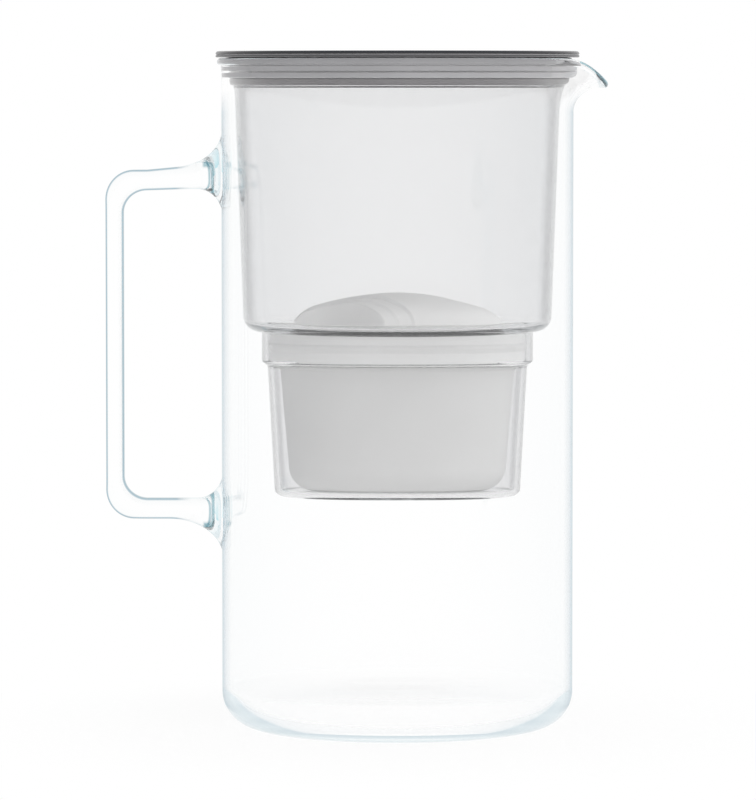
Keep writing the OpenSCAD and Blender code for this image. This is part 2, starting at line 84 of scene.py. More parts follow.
camera_data = bpy.data.cameras.new("side camera")
camera_data.lens = LENS
camera_data.sensor_width = 36
camera_data.clip_end = 30
camera = placed("side camera", camera_data)
camera.location = CAMERA_AT
camera.rotation_euler = (math.radians(90 - TILT), 0, 0)
scene.camera = camera
scene.view_settings.view_transform = "Standard"
print("camera: lens", LENS, "mm, tilted down", TILT, "degrees")

# %% [markdown]
# ## Nodes with less wiring
# A finish in Blender is a tree of nodes. Here a node is added together with its inputs: a number
# or colour is set on the input, and the output of another node is linked to it. Sums, ramps and
# blends, which all the finishes share, are small helpers on top of that.

# %% Node tools
def feed(tree, node, inputs):
    """Sets inputs of a node to numbers and colours, or links them to outputs of other nodes."""
    for key, value in inputs.items():
        socket = node.inputs[key]
        if isinstance(value, bpy.types.NodeSocket):
            tree.links.new(value, socket)
        elif socket.type == "RGBA":
            socket.default_value = (*value, 1)
        else:
            socket.default_value = value


def add(tree, kind, inputs=None, **values):
    """Adds a node, sets its plain properties and feeds its inputs."""
    node = tree.nodes.new(kind)
    for key, value in values.items():
        setattr(node, key, value)
    feed(tree, node, inputs or {})
    return node


def reckoned(tree, operation, value, other=0.0):
    """A sum done with two values."""
    return add(tree, "ShaderNodeMath", {0: value, 1: other}, operation=operation).outputs[0]


def rescaled(tree, value, span, result=(0.0, 1.0), way="LINEAR"):
    """Goes through the range of the result as a value goes through a span."""
    ends = {"From Min": span[0], "From Max": span[1], "To Min": result[0], "To Max": result[1]}
    return add(tree, "ShaderNodeMapRange", {"Value": value, **ends}, interpolation_type=way).outputs[0]


def mixed(tree, share, before, after):
    """A colour between two others."""
    colours = {"Factor": share, "A": before, "B": after}
    return add(tree, "ShaderNodeMix", colours, data_type="RGBA").outputs["Result"]


def blended(tree, value, span, before, after):
    """A colour that turns from one into another as a value goes through a span."""
    return mixed(tree, rescaled(tree, value, span), before, after)


def ramp(tree, value, stops):
    """A colour that follows a value through a list of (place, colour)."""
    node = add(tree, "ShaderNodeValToRGB", {0: value})
    stripe = node.color_ramp.elements
    for k, (place, colour) in enumerate(stops):
        stop = stripe[k] if k < 2 else stripe.new(place)
        stop.position = place
        stop.color = (*colour, 1)
    return node.outputs["Color"]


def parted(tree, vector):
    """The X, Y and Z of a vector."""
    return add(tree, "ShaderNodeSeparateXYZ", {0: vector}).outputs


print("node tools ready")

# %% [markdown]
# ## Light for clear things
# Glass has no colour of its own to light up. It is seen by what stands behind and beside it, so a
# white surround is worth more than a lamp. The world is white where the eye meets it, straight, in
# a reflection or through the glass, and dimmer overhead, which draws the edges of clear pieces.
# Matt pieces get a plain light from it, stronger from the right. Light turns many times between
# clear walls, so it may bounce more often than usual.

# %% World
scene.cycles.max_bounces = 128
scene.cycles.glossy_bounces = 96
scene.cycles.transmission_bounces = 96
scene.cycles.transparent_max_bounces = 48
world = bpy.data.worlds.new("white studio")
scene.world = world
world.use_nodes = True
sky = world.node_tree
sky.nodes.clear()


def sight(tree):
    """One where the eye looks, straight, in a reflection or through something clear, else nought."""
    path = add(tree, "ShaderNodeLightPath").outputs
    looks = reckoned(tree, "MAXIMUM", path["Is Camera Ray"], path["Is Glossy Ray"])
    looks = reckoned(tree, "MAXIMUM", looks, path["Is Transmission Ray"])
    no_matt = reckoned(tree, "LESS_THAN", path["Diffuse Depth"], 0.5)
    return reckoned(tree, "MULTIPLY", looks, no_matt)


way = parted(sky, add(sky, "ShaderNodeTexCoord").outputs["Generated"])
backdrop = ramp(sky, way["Z"], [(0.0, (1, 1, 1)), (0.42, (1, 1, 1)), (0.95, (0.62, 0.7, 0.74))])
to_right = rescaled(sky, way["X"], (-1, 1))
soft_light = ramp(sky, to_right, [(0.0, (0.62, 0.62, 0.63)), (1.0, (1.2, 1.2, 1.19))])
glow = add(sky, "ShaderNodeBackground", {"Color": mixed(sky, sight(sky), soft_light, backdrop)})
add(sky, "ShaderNodeOutputWorld", {"Surface": glow.outputs[0]})
print("world:", len(sky.nodes), "nodes")

# %% [markdown]
# ## The table top
# The jug stands on a plain white sheet. A disc is enough, as long as it fades into the white of
# the world before its rim. Near the jug it keeps part of the real shading, so the foot has a soft
# shadow and the jug doesn't float.

# %% Table top
MM = 0.001
TABLE_R = 4.0
TABLE_GAP = 0.3
SHADOW_SPAN = (0.07, 0.2)
WHITENESS = (0.86, 1.0)


def painted(name):
    """A new material, its node tree and its surface shader."""
    material = bpy.data.materials.new(name)
    material.use_nodes = True
    return material, material.node_tree, material.node_tree.nodes["Principled BSDF"]


def object_place(tree):
    """The place of a point of the surface on its own object."""
    return add(tree, "ShaderNodeTexCoord").outputs["Object"]


def show_both(tree, share, under, over):
    """Makes the surface a mixture of two shaders."""
    both = add(tree, "ShaderNodeMixShader", {0: share, 1: under.outputs[0], 2: over.outputs[0]})
    feed(tree, tree.nodes["Material Output"], {"Surface": both.outputs[0]})


sheet, tree, paper = painted("white sheet")
feed(tree, paper, {"Base Color": (0.88, 0.88, 0.88), "Roughness": 0.9, "Specular IOR Level": 0.1})
from_jug = add(tree, "ShaderNodeVectorMath", {0: object_place(tree)}, operation="LENGTH").outputs["Value"]
whiteness = rescaled(tree, from_jug, SHADOW_SPAN, WHITENESS, "SMOOTHSTEP")
share = reckoned(tree, "MULTIPLY", sight(tree), whiteness)
show_both(tree, share, paper, add(tree, "ShaderNodeEmission"))
sheet.cycles.emission_sampling = "NONE"

bm = bmesh.new()
bmesh.ops.create_circle(bm, cap_ends=True, segments=96, radius=TABLE_R)
table_mesh = bpy.data.meshes.new("table_top")
bm.to_mesh(table_mesh)
bm.free()
table_top = placed("table_top", table_mesh)
table_top.location.z = -TABLE_GAP * MM
table_top.data.materials.append(sheet)
table_top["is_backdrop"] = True
print("table top: a disc", 2 * TABLE_R, "m across,", TABLE_GAP, "mm under the foot of the jug")

# %% [markdown]
# ## A soft lamp
# One large lamp above and to the right gives the lid and the table a direction of light. It is
# kept out of reflections, because the glass should show only the white surround.

# %% Lamp
LAMP_AT = Vector((1.1, -1.0, 1.7))
LAMP_AIM = Vector((0, 0, 0.15))
lamp_data = bpy.data.lights.new("soft box", "AREA")
lamp_data.shape = "DISK"
lamp_data.size = 1.4
lamp_data.energy = 12
lamp = placed("soft box", lamp_data)
lamp.location = LAMP_AT
lamp.rotation_euler = (LAMP_AIM - LAMP_AT).to_track_quat("-Z", "Y").to_euler()
lamp.visible_glossy = False
lamp.visible_transmission = False
print("lamp:", lamp_data.energy, "W through a disc", lamp_data.size, "m across")

# %% [markdown]
# ## Tools for turned and lofted pieces
# Nearly everything here is a shell: rings of points joined by quads, up the outside, over the rim
# and down the inside. A real shell has no razor edges, so profiles are softened at their corners.
# Each mesh is closed, because light has to know when it is inside the glass.

# %% Mesh tools
COLUMNS = 240
TURNS = [2 * math.pi * j / COLUMNS for j in range(COLUMNS)]
SHARP = math.radians(35)


def soft_step(x, low, high):
    """Rises gently from 0 at low to 1 at high."""
    t = min(1.0, max(0.0, (x - low) / (high - low)))
    return t * t * (3 - 2 * t)


def signed_power(x, power):
    """A power of a number that may be negative."""
    return math.copysign(abs(x) ** power, x)


def arc(r, z, radius, start, stop, steps):
    """Points on an arc of a profile, in millimetres and degrees."""
    turns = [math.radians(start + (stop - start) * i / steps) for i in range(steps + 1)]
    return [(r + radius * math.cos(t), z + radius * math.sin(t)) for t in turns]


def spun(points, turns=TURNS):
    """A ring round the axis, with a point of (r, z) for each turn."""
    return [(r * math.cos(t), r * math.sin(t), z) for (r, z), t in zip(points, turns)]


def circle(r, z):
    """A round ring."""
    return spun([(r, z)] * COLUMNS)


def raised(outline, z):
    """A ring with a flat outline, at a height."""
    return [(x, y, z) for x, y in outline]


def softened(corners, steps=4):
    """A closed profile of (r, z, radius) with each corner rounded to its radius."""
    points = []
    for i, (r, z, radius) in enumerate(corners):
        here = Vector((r, z))
        back = Vector(corners[i - 1][:2]) - here
        ahead = Vector(corners[(i + 1) % len(corners)][:2]) - here
        half = back.angle(ahead) / 2
        run = min(radius / math.tan(half), 0.45 * back.length, 0.45 * ahead.length)
        radius = run * math.tan(half)
        middle = (back.normalized() + ahead.normalized()).normalized() * (radius / math.sin(half))
        start = back.normalized() * run - middle
        stop = ahead.normalized() * run - middle
        for k in range(steps + 1):
            point = here + middle + start.lerp(stop, k / steps).normalized() * radius
            points.append((point.x, point.y))
    return points


def smooth(mesh):
    """Smooth shading, with sharp edges where two faces meet at a steep angle."""
    mesh.shade_smooth()
    mesh.set_sharp_from_angle(angle=SHARP)


def finished(name, bm):
    """A smooth object of the closed mesh in bm."""
    bmesh.ops.recalc_face_normals(bm, faces=bm.faces)
    mesh = bpy.data.meshes.new(name)
    bm.to_mesh(mesh)
    bm.free()
    smooth(mesh)
    return placed(name, mesh)


def add_loft(bm, rings, loop=False, poles=(None, None), caps=False):
    """Quads between rings of points in millimetres, closed in a loop, on poles or by flat caps."""
    rows = [[bm.verts.new(Vector(p) * MM) for p in ring] for ring in rings]
    pairs = list(zip(rows, rows[1:]))
    if loop:
        pairs.append((rows[-1], rows[0]))
    for low, high in pairs:
        for j in range(len(low)):
            bm.faces.new((low[j - 1], low[j], high[j], high[j - 1]))
    for row, pole in ((rows[0], poles[0]), (rows[-1], poles[1])):
        if pole is not None:
            tip = bm.verts.new(Vector(pole) * MM)
            for j in range(len(row)):
                bm.faces.new((row[j - 1], row[j], tip))
        elif caps:
            bm.faces.new(row)
    return rows


def lofted(name, rings, **ends):
    """A closed object lofted through rings."""
    bm = bmesh.new()
    add_loft(bm, rings, **ends)
    return finished(name, bm)


def settled(piece):
    """Makes the modifiers of a piece part of its mesh."""
    graph = bpy.context.evaluated_depsgraph_get()
    mesh = bpy.data.meshes.new_from_object(piece.evaluated_get(graph))
    piece.modifiers.clear()
    piece.data = mesh


def combined(piece, tool, operation):
    """Adds a second closed mesh to a piece, or cuts it away."""
    change = piece.modifiers.new("change", "BOOLEAN")
    change.operation = operation
    change.solver = "EXACT"
    change.object = tool
    settled(piece)
    bpy.data.objects.remove(tool)
    smooth(piece.data)


def set_up(piece, body, slot, material, *stands_for):
    """Evens out a piece's shading, gives it its finish and its body, and hides the solids it stands for."""
    even = piece.modifiers.new("even shading", "WEIGHTED_NORMAL")
    even.keep_sharp = True
    settled(piece)
    piece.data.materials.clear()
    piece.data.materials.append(material)
    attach(piece, body)
    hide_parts(*stands_for)
    print(piece.name + ":", len(piece.data.polygons), "faces, for", ", ".join(stands_for))


print("mesh tools ready,", COLUMNS, "columns to a turn")

# %% [markdown]
# ## Glass
# Borosilicate glass is clear from the front, and greenish blue where the eye looks along its
# surface. A ramp on the angle of view gives that outline: its pale part is the glass's own tint,
# and its near-black end is painted shade for the dark surroundings that the edges refract. A
# faint absorption in the volume adds to it. A slow ripple in the bump is what hand-drawn glass
# shows. Light caught inside is let go after some turns, because it would end as black specks. The
# wall has its tint and painted shade on the outer skin only, or each edge would be drawn twice.
# The spout's lip is seen as a line and gets more painted shade.

# %% Glass finish
MOST_TURNS = 10
CLEAR = (1.0, 1.0, 1.0)
GLASS = {"ior": 1.47, "absorbs": (0.5, 0.82, 0.88), "density": 0.3, "waves": 22.0}
OUTER_SKIN = (70.5 * MM, 71.5 * MM)
UNDER_RIM = (254.0 * MM, 263.0 * MM)


def edge_on(tree):
    """Rises from 0 where a surface is seen square on to 1 where it is seen along."""
    return add(tree, "ShaderNodeLayerWeight", {"Blend": 0.5}).outputs["Facing"]


def noise(tree, scale, detail, distortion=0.0):
    """A cloudy pattern over the object."""
    inputs = {"Vector": object_place(tree), "Scale": scale, "Detail": detail, "Distortion": distortion}
    return add(tree, "ShaderNodeTexNoise", inputs).outputs["Fac"]


def emboss(tree, shader, height, strength, depth):
    """Gives a surface a fine relief that follows a pattern."""
    bump = add(tree, "ShaderNodeBump", {"Height": height, "Strength": strength, "Distance": depth})
    feed(tree, shader, {"Normal": bump.outputs[0]})


def let_light_by(tree, shader, let_go):
    """Opens a clear surface to the light on the matt pieces behind it, and to light caught inside it."""
    path = add(tree, "ShaderNodeLightPath").outputs
    caught = reckoned(tree, "GREATER_THAN", path["Ray Depth"], MOST_TURNS)
    falling = reckoned(tree, "MAXIMUM", path["Is Shadow Ray"], path["Is Diffuse Ray"])
    colour = mixed(tree, caught, CLEAR, let_go)
    open_way = add(tree, "ShaderNodeBsdfTransparent", {"Color": colour})
    show_both(tree, reckoned(tree, "MAXIMUM", falling, caught), shader, open_way)


def clear_finish(name, stops, ior, absorbs, density, waves, ripple, let_go, change=None):
    """A clear material: a tint and painted edge shade by angle, a tint by depth, and a slow ripple."""
    material, tree, shader = painted(name)
    colour = ramp(tree, edge_on(tree), stops)
    if change:
        colour = change(tree, colour)
    feed(tree, shader, {"Base Color": colour, "Roughness": 0.0, "IOR": ior, "Transmission Weight": 1.0})
    depth = add(tree, "ShaderNodeVolumeAbsorption", {"Color": absorbs, "Density": density})
    feed(tree, tree.nodes["Material Output"], {"Volume": depth.outputs[0]})
    emboss(tree, shader, noise(tree, waves, 1.0), ripple, 1.0 * MM)
    let_light_by(tree, shader, let_go)
    return material


def on_outer_skin(tree, tint):
    """Keeps the tint and painted shade to the outer skin of the wall, and fades them towards the rim."""
    place = object_place(tree)
    flat = add(tree, "ShaderNodeVectorMath", {0: place, 1: (1, 1, 0)}, operation="MULTIPLY").outputs[0]
    from_axis = add(tree, "ShaderNodeVectorMath", {0: flat}, operation="LENGTH").outputs["Value"]
    tint = blended(tree, from_axis, OUTER_SKIN, CLEAR, tint)
    return blended(tree, parted(tree, place)["Z"], UNDER_RIM, tint, CLEAR)


# Wall by angle: pale greenish blue is the glass's own tint, the near-black end is painted shade.
wall_tint_and_shade = [
    (0.0, CLEAR), (0.68, (0.95, 0.965, 0.97)), (0.8, (0.55, 0.63, 0.68)), (0.84, (0.32, 0.42, 0.51)),
    (0.87, (0.17, 0.31, 0.39)), (0.9, (0.06, 0.17, 0.24)), (1.0, (0.0, 0.04, 0.07)),
]
glass = clear_finish(
    "jug glass", wall_tint_and_shade, ripple=0.02, let_go=(0.93, 0.955, 0.965), change=on_outer_skin, **GLASS)
# The spout's lip: its glass tint darkened into painted shade, so its edge reads as a line.
rim_tint_and_shade = [(0.0, (0.32, 0.52, 0.58)), (0.5, (0.17, 0.36, 0.42)), (1.0, (0.03, 0.13, 0.18))]
rim_glass = clear_finish("rim glass", rim_tint_and_shade, ripple=0.0, let_go=(0.75, 0.84, 0.87), **GLASS)
print("glass: index", GLASS["ior"])

# %% [markdown]
# ## The jug
# The glass maker blows the jug in a straight mould, heats the rim, and pulls the spout out of it
# with a rod. The wall is one column of points for each angle: up the outside, over the rounded
# rim and down the inside. Inside the spout's angle, each column leans over towards the spout's
# own curve, most in the middle and not at all at its sides.

# %% Jug wall
JUG_R = 72.5
GLASS_T = 2.8
JUG_H = 276.3
BASE_T = 5.0
BASE_ROUND = 15.0
FLOOR_ROUND = 12.0
FLAT_RINGS = [22.0, 44.0]
RIM_FLARE = 1.0
RIM_FLARE_H = 6.0
RIM_GAP = 0.4
RIM_SQUARE = 0.6
SPOUT_REACH = 13.5
SPOUT_DROP = 12.3
SPOUT_H = 22.5
SPOUT_ANGLE = math.radians(30)
SPOUT_DIP = 2.45
BEAD = 1.1
BEAD_H = 1.0
BEAD_FADE = 0.7
JUG_RI = JUG_R - GLASS_T
FLOOR_Z = BASE_T + FLOOR_ROUND
BAND_Z = JUG_H - SPOUT_H
RIM_END_Z = JUG_H - RIM_GAP - (GLASS_T + BEAD) / 2
SPOUT_RISE = JUG_H - SPOUT_DROP - BAND_Z
ROUND_ROWS = 14
WALL_ROWS = 16
BAND_ROWS = 36
BAND_CROWD = 1.5
RIM_ROWS = 10


def swell(turn, angle):
    """Falls softly from 1 in the middle of the spout to 0 at an angle to either side."""
    turn = (turn + math.pi) % (2 * math.pi) - math.pi
    return (1 + math.cos(math.pi * turn / angle)) / 2 if abs(turn) < angle else 0.0


def flare(z):
    """How far the rim stands out at a height."""
    return RIM_FLARE * soft_step(z, JUG_H - RIM_FLARE_H, JUG_H)


def band_outside(u, share):
    """A point outside on the rim band, from u = 0 at its foot to 1 at the rim."""
    z = BAND_Z + (RIM_END_Z - BAND_Z) * u
    r = JUG_R + flare(z)
    quarter = math.pi / 2 * u
    spout_r = JUG_R + (SPOUT_REACH - (GLASS_T - BEAD) / 2) * (1 - math.cos(quarter))
    spout_z = BAND_Z + SPOUT_RISE * math.sin(quarter)
    return Vector((r + (spout_r - r) * share, z + (spout_z - z) * share ** SPOUT_DIP))


def band_point(u, share):
    """Outside and inside points of the rim band: level across the wall, square to it in the spout."""
    outside = band_outside(u, share)
    run = (band_outside(u + 0.01, share) - band_outside(u - 0.01, share)).normalized()
    inwards = Vector((-1, 0)).lerp(Vector((-run.y, run.x)), share)
    down = 1 - (1 - u) * SPOUT_H / BEAD_H
    full = BEAD * (1 - BEAD_FADE * share)
    bead = full * math.sqrt(1 - (1 - min(1.0, down)) ** 2) if down > 0 else 0.0
    return outside - inwards * bead, outside + inwards * GLASS_T


def rim_lip(share):
    """The middle of the rim's rounded lip, and the arrows to its outer side and to its crest."""
    outside, inside = band_point(1.0, share)
    across = (outside - inside) / 2
    return (outside + inside) / 2, across, Vector((-across.y, across.x))


def jug_column(turn):
    """The wall at one angle, from the middle of the foot to the middle of the floor."""
    share = swell(turn, SPOUT_ANGLE)
    pairs = [band_point(1 - (1 - i / BAND_ROWS) ** BAND_CROWD, share) for i in range(BAND_ROWS + 1)]
    middle, across, over = rim_lip(share)
    bend = RIM_SQUARE + (1 - RIM_SQUARE) * share
    lip = []
    for k in range(1, RIM_ROWS):
        t = math.pi * k / RIM_ROWS
        lip.append(middle + across * signed_power(math.cos(t), bend) + over * signed_power(math.sin(t), bend))
    column = [(r, 0.0) for r in FLAT_RINGS]
    column += arc(JUG_R - BASE_ROUND, BASE_ROUND, BASE_ROUND, 270, 360, ROUND_ROWS)
    column += [(JUG_R, BASE_ROUND + (BAND_Z - BASE_ROUND) * i / WALL_ROWS) for i in range(1, WALL_ROWS)]
    column += [outside for outside, inside in pairs] + lip + [inside for outside, inside in reversed(pairs)]
    column += [(JUG_RI, BAND_Z + (FLOOR_Z - BAND_Z) * i / WALL_ROWS) for i in range(1, WALL_ROWS)]
    column += arc(JUG_RI - FLOOR_ROUND, FLOOR_Z, FLOOR_ROUND, 0, -90, ROUND_ROWS)
    return column + [(r, BASE_T) for r in reversed(FLAT_RINGS)]


rings = [spun(row) for row in zip(*[jug_column(t) for t in TURNS])]
jug = lofted("jug_with_handle", rings, poles=((0, 0, 0), (0, 0, BASE_T)))
print("jug wall:", len(rings), "rings of", COLUMNS, "points")

# %% [markdown]
# ## Glass of the handle
# The handle is solid, so its outline is broad and dark, in painted shade. At its roots, where
# the glass has run into the wall, the painted shade is paler, with a painted dark ring for the
# light the weld folds. The ring is reckoned from the place of a point: a squarish patch round the
# end of each arm, with its middle left out.

# %% Handle glass
HANDLE_TOP = JUG_H - 50.4
HANDLE_LOW = HANDLE_TOP - 135.6
ROOT_SPAN = (-85.0 * MM, -91.0 * MM)
WELD_SPAN = (-80.5 * MM, -79.5 * MM)
WELD_LONG = 4.2 * MM
WELD_HIGH = 7.6 * MM
WELD_SQUARE = 6.0
WELD_MIDDLE = (0.05, 0.2)
WELD_EDGE = (0.85, 1.15)


def weld_painted_shade(tree, tint):
    """Pales the painted edge shade at the handle's roots and paints a dark ring round each weld."""
    place = parted(tree, object_place(tree))
    root_tint_and_shade = ramp(tree, edge_on(tree), [
        (0.0, CLEAR), (0.7, (0.97, 0.98, 0.98)), (0.86, (0.62, 0.76, 0.79)), (1.0, (0.3, 0.52, 0.57))])
    # Painted shade: a dark ring of colour stands for the light that the weld folds.
    weld_ring_shade = ramp(tree, edge_on(tree), [
        (0.0, (0.24, 0.41, 0.47)), (0.4, (0.12, 0.29, 0.35)), (0.8, (0.01, 0.11, 0.16))])
    run = reckoned(tree, "MAXIMUM", reckoned(tree, "SUBTRACT", place["X"], WELD_SPAN[1]), 0.0)
    rise = reckoned(tree, "SUBTRACT", place["Z"], (HANDLE_TOP + HANDLE_LOW) / 2 * MM)
    rise = reckoned(tree, "SUBTRACT", reckoned(tree, "ABSOLUTE", rise), (HANDLE_TOP - HANDLE_LOW) / 2 * MM)
    rise = reckoned(tree, "ABSOLUTE", rise)
    run = reckoned(tree, "POWER", reckoned(tree, "DIVIDE", run, WELD_LONG), WELD_SQUARE)
    rise = reckoned(tree, "POWER", reckoned(tree, "DIVIDE", rise, WELD_HIGH), WELD_SQUARE)
    from_weld = reckoned(tree, "ADD", run, rise)
    tint = blended(tree, place["X"], ROOT_SPAN, root_tint_and_shade, tint)
    ringed = blended(tree, from_weld, WELD_MIDDLE, tint, weld_ring_shade)
    ringed = blended(tree, from_weld, WELD_EDGE, ringed, root_tint_and_shade)
    return blended(tree, place["X"], WELD_SPAN, tint, ringed)


# The ramp's dark end is painted shade for the solid bar's broad dark outline.
handle_tint_and_shade = [
    (0.0, CLEAR), (0.5, (0.97, 0.98, 0.98)), (0.6, (0.29, 0.43, 0.51)), (0.73, (0.04, 0.14, 0.21)),
    (1.0, (0.0, 0.05, 0.09)),
]
handle_glass = clear_finish(
    "handle glass", handle_tint_and_shade, ripple=0.02, let_go=(0.75, 0.85, 0.88), change=weld_painted_shade, **GLASS)
print("handle glass:", len(handle_glass.node_tree.nodes), "nodes")

# %% [markdown]
# ## The handle
# The handle is a bar of solid glass, bent hot and pressed against the wall at both ends, where it
# spreads into soft fillets. It is swept along its path with a rounded section that grows near the
# wall, and its ends follow the wall's curve. The upper arm also rises a little on its way in. Jug
# and handle are then joined into one mesh, because a fused joint has no surface inside it.

# %% Handle
HANDLE_REACH = 44.0
HANDLE_T = 7.6
HANDLE_W = 15.0
ARM_T = 8.6
BEND = 13.5
CORNER = 12.0
ROOT_OUTER = 16.5
ROOT_OUTER_LEN = 22.0
TOP_ROOT_LEN = 18.0
ROOT_INNER = 12.0
ROOT_INNER_LEN = 10.5
ROOT_SIDE = 6.0
ROOT_SINK = 0.5
ARM_RUN = HANDLE_REACH - BEND
ARM_RISE = 1.7
ARM_DROP = 0.6
RISE_END = 12.0
LAST_GAP = 28.0
SECTION_POWER = 2 / 2.6
SECTION_N = 96
ARM_ROWS = 40
BEND_ROWS = 24


def fillet(size, length, gap):
    """Extra half size of the bar at a distance from the wall."""
    near = 1 - min(length, max(0.0, gap + ROOT_SINK)) / length
    return size * (1 - math.sqrt(1 - near * near))


def corner_reach(size, t):
    """Distance from the middle of a bend to its outer corner, at an angle along the bend."""
    t = min(t, math.pi / 2 - t)
    inset = size - CORNER
    if math.tan(t) < inset / size:
        return size / math.cos(t)
    along = inset * (math.sin(t) + math.cos(t))
    return along + math.sqrt(CORNER ** 2 - 2 * inset ** 2 + along ** 2)


def bar_section(x, z, heading, gap, outer, inner):
    """One ring of the bar: its place, direction, distance from the wall and half sizes."""
    ring = []
    upper = heading < 1
    rise = 1 - min(1.0, max(0.0, (gap - RISE_END) / (ARM_RUN - RISE_END))) if upper else 0.0
    outer += fillet(ROOT_OUTER, TOP_ROOT_LEN if upper else ROOT_OUTER_LEN, gap) + ARM_RISE * rise
    inner += fillet(ROOT_INNER, ROOT_INNER_LEN, gap) - ARM_DROP * rise
    side = HANDLE_W / 2 + fillet(ROOT_SIDE, ROOT_INNER_LEN, gap)
    hold = max(0.0, 1 - max(0.0, gap) / ROOT_INNER_LEN) ** 2
    for k in range(SECTION_N):
        t = 2 * math.pi * k / SECTION_N
        along = signed_power(math.cos(t), SECTION_POWER)
        across = signed_power(math.sin(t), SECTION_POWER)
        half = (outer if along > 0 else inner) * along
        y = side * across
        hug = (JUG_R - math.sqrt(JUG_R ** 2 - y * y)) * hold
        ring.append((x + hug - half * math.sin(heading), y, z + half * math.cos(heading)))
    return ring


gaps = [-GLASS_T / 2]
gaps += [(LAST_GAP + ROOT_SINK) * (i / ARM_ROWS) ** 2 - ROOT_SINK for i in range(1, ARM_ROWS + 1)]
path = [(-JUG_R - g, HANDLE_TOP, 0.0, g, ARM_T / 2, ARM_T / 2) for g in gaps]
for z, start in ((HANDLE_TOP - BEND, 0), (HANDLE_LOW + BEND, 1)):
    for i in range(BEND_ROWS + 1):
        share = abs(start - i / BEND_ROWS)
        thick = (ARM_T + (HANDLE_T - ARM_T) * soft_step(share, 0, 1)) / 2
        t = math.pi / 2 * i / BEND_ROWS
        turn = t + math.pi / 2 * start
        x = BEND - HANDLE_REACH - JUG_R - BEND * math.sin(turn)
        outer = corner_reach(BEND + thick, t) - BEND
        path.append((x, z + BEND * math.cos(turn), turn, ARM_RUN, outer, thick))
path += [(-JUG_R - g, HANDLE_LOW, math.pi, g, ARM_T / 2, ARM_T / 2) for g in reversed(gaps)]
handle = lofted("handle", [bar_section(*stop) for stop in path], caps=True)
combined(jug, handle, "UNION")
set_up(jug, "jug", "jug_glass", glass, "glass_jug", "glass_handle")

# %% [markdown]
# ## Which glass goes where
# The one mesh of jug and handle has three glasses. A face belongs to the handle by its place
# beside the wall, and to the lip of the spout by its height in the lip's own direction, because
# the lip tips over on its way to the point.

# %% Glass by face
ROOT_SIDE_X = -73.5
SPOUT_SIDE_X = 74.5
LIP_FROM = 0.35
jug.data.materials.append(rim_glass)
jug.data.materials.append(handle_glass)
for face in jug.data.polygons:
    x, y, z = face.center / MM
    middle, across, over = rim_lip(swell(math.atan2(y, x), SPOUT_ANGLE))
    height = (Vector((math.hypot(x, y), z)) - middle).dot(over) / over.length_squared
    if x > SPOUT_SIDE_X and height > LIP_FROM:
        face.material_index = 1
    elif x < ROOT_SIDE_X:
        face.material_index = 2
print("glasses of the jug:", ", ".join(m.name for m in jug.data.materials))

# %% [markdown]
# ## Moulded plastics and silicone
# Opaque mouldings aren't one flat colour. Their skin has a fine spark-eroded grain, and the gloss
# varies a little from place to place. One helper gives them all that, with cloudy changes of tone
# laid over the grain. The collar is darker where its flange lies under the lid: painted shade.

# %% Moulded finish
CLOUD_SCALE = 38.0
GRAIN_DEPTH = 0.2 * MM
FLANGE_SHADE_SPAN = ((JUG_H + 0.1) * MM, (JUG_H + 0.4) * MM)


def moulded_finish(name, colour, roughness, grain_scale, grain, cloud=0.04, coat=0.0, gloss=0.5, change=None):
    """An opaque moulding: a grained skin, uneven gloss and slight clouds of tone."""
    material, tree, shader = painted(name)
    clouds = noise(tree, CLOUD_SCALE, 3.0)
    dark, light = [[c * k for c in colour] for k in (1 - cloud, 1 + cloud)]
    tone = ramp(tree, clouds, [(0.3, dark), (0.7, light)])
    if change:
        tone = change(tree, tone)
    uneven = rescaled(tree, clouds, (0.0, 1.0), (roughness * 0.8, roughness * 1.2))
    feed(tree, shader, {"Base Color": tone, "Roughness": uneven, "Specular IOR Level": gloss})
    feed(tree, shader, {"Coat Weight": coat, "Coat Roughness": 0.04})
    emboss(tree, shader, noise(tree, grain_scale, 2.0), grain, GRAIN_DEPTH)
    return material


def flange_painted_shade(tree, tone):
    """Paints shade on the flange over the rim of the glass, under the lid."""
    return blended(tree, parted(tree, object_place(tree))["Z"], FLANGE_SHADE_SPAN, tone, (0.065, 0.065, 0.07))


# Painted shade: the flange under the lid is made darker.
collar_plastic = moulded_finish(
    "collar plastic", (0.15, 0.144, 0.15), 0.32, 1800, 0.12, change=flange_painted_shade)
seal_silicone = moulded_finish("grey silicone", (0.36, 0.357, 0.37), 0.3, 1200, 0.1, coat=0.4)
print("finishes:", collar_plastic.name, "and", seal_silicone.name)

# %% [markdown]
# ## Collar
# The collar is a dark ring that hangs on the rim by its flange. A groove round it holds the seal,
# and its lip shows under the seal through the glass. It is round all over, so it is turned from a
# profile with softened corners.

# %% Collar
SEAL_Z = JUG_H - 8.8
COLLAR_Z = SEAL_Z - 2.6
FLANGE_Z = JUG_H + 0.9
FLANGE_R = 74.8
SEAL_R = JUG_RI - 0.35
GROOVE_R = SEAL_R - 2.8
BORE_R = GROOVE_R - 1.8
LIP_R = JUG_RI - 0.5
LIP_LOW_R = LIP_R - 1.5
profile = softened([
    (BORE_R, COLLAR_Z, 0.3), (LIP_R - 0.4, COLLAR_Z, 1.2), (LIP_R, SEAL_Z - 0.6, 0.5), (LIP_R, SEAL_Z, 0.2),
    (GROOVE_R, SEAL_Z, 0.1), (GROOVE_R, JUG_H, 0.1), (FLANGE_R, JUG_H, 0.4), (FLANGE_R, FLANGE_Z, 0.3),
    (BORE_R, FLANGE_Z, 0.3),
])
collar = lofted("collar", [circle(r, z) for r, z in profile], loop=True)
set_up(collar, "hopper_unit", "collar_plastic", collar_plastic, "hopper_collar")

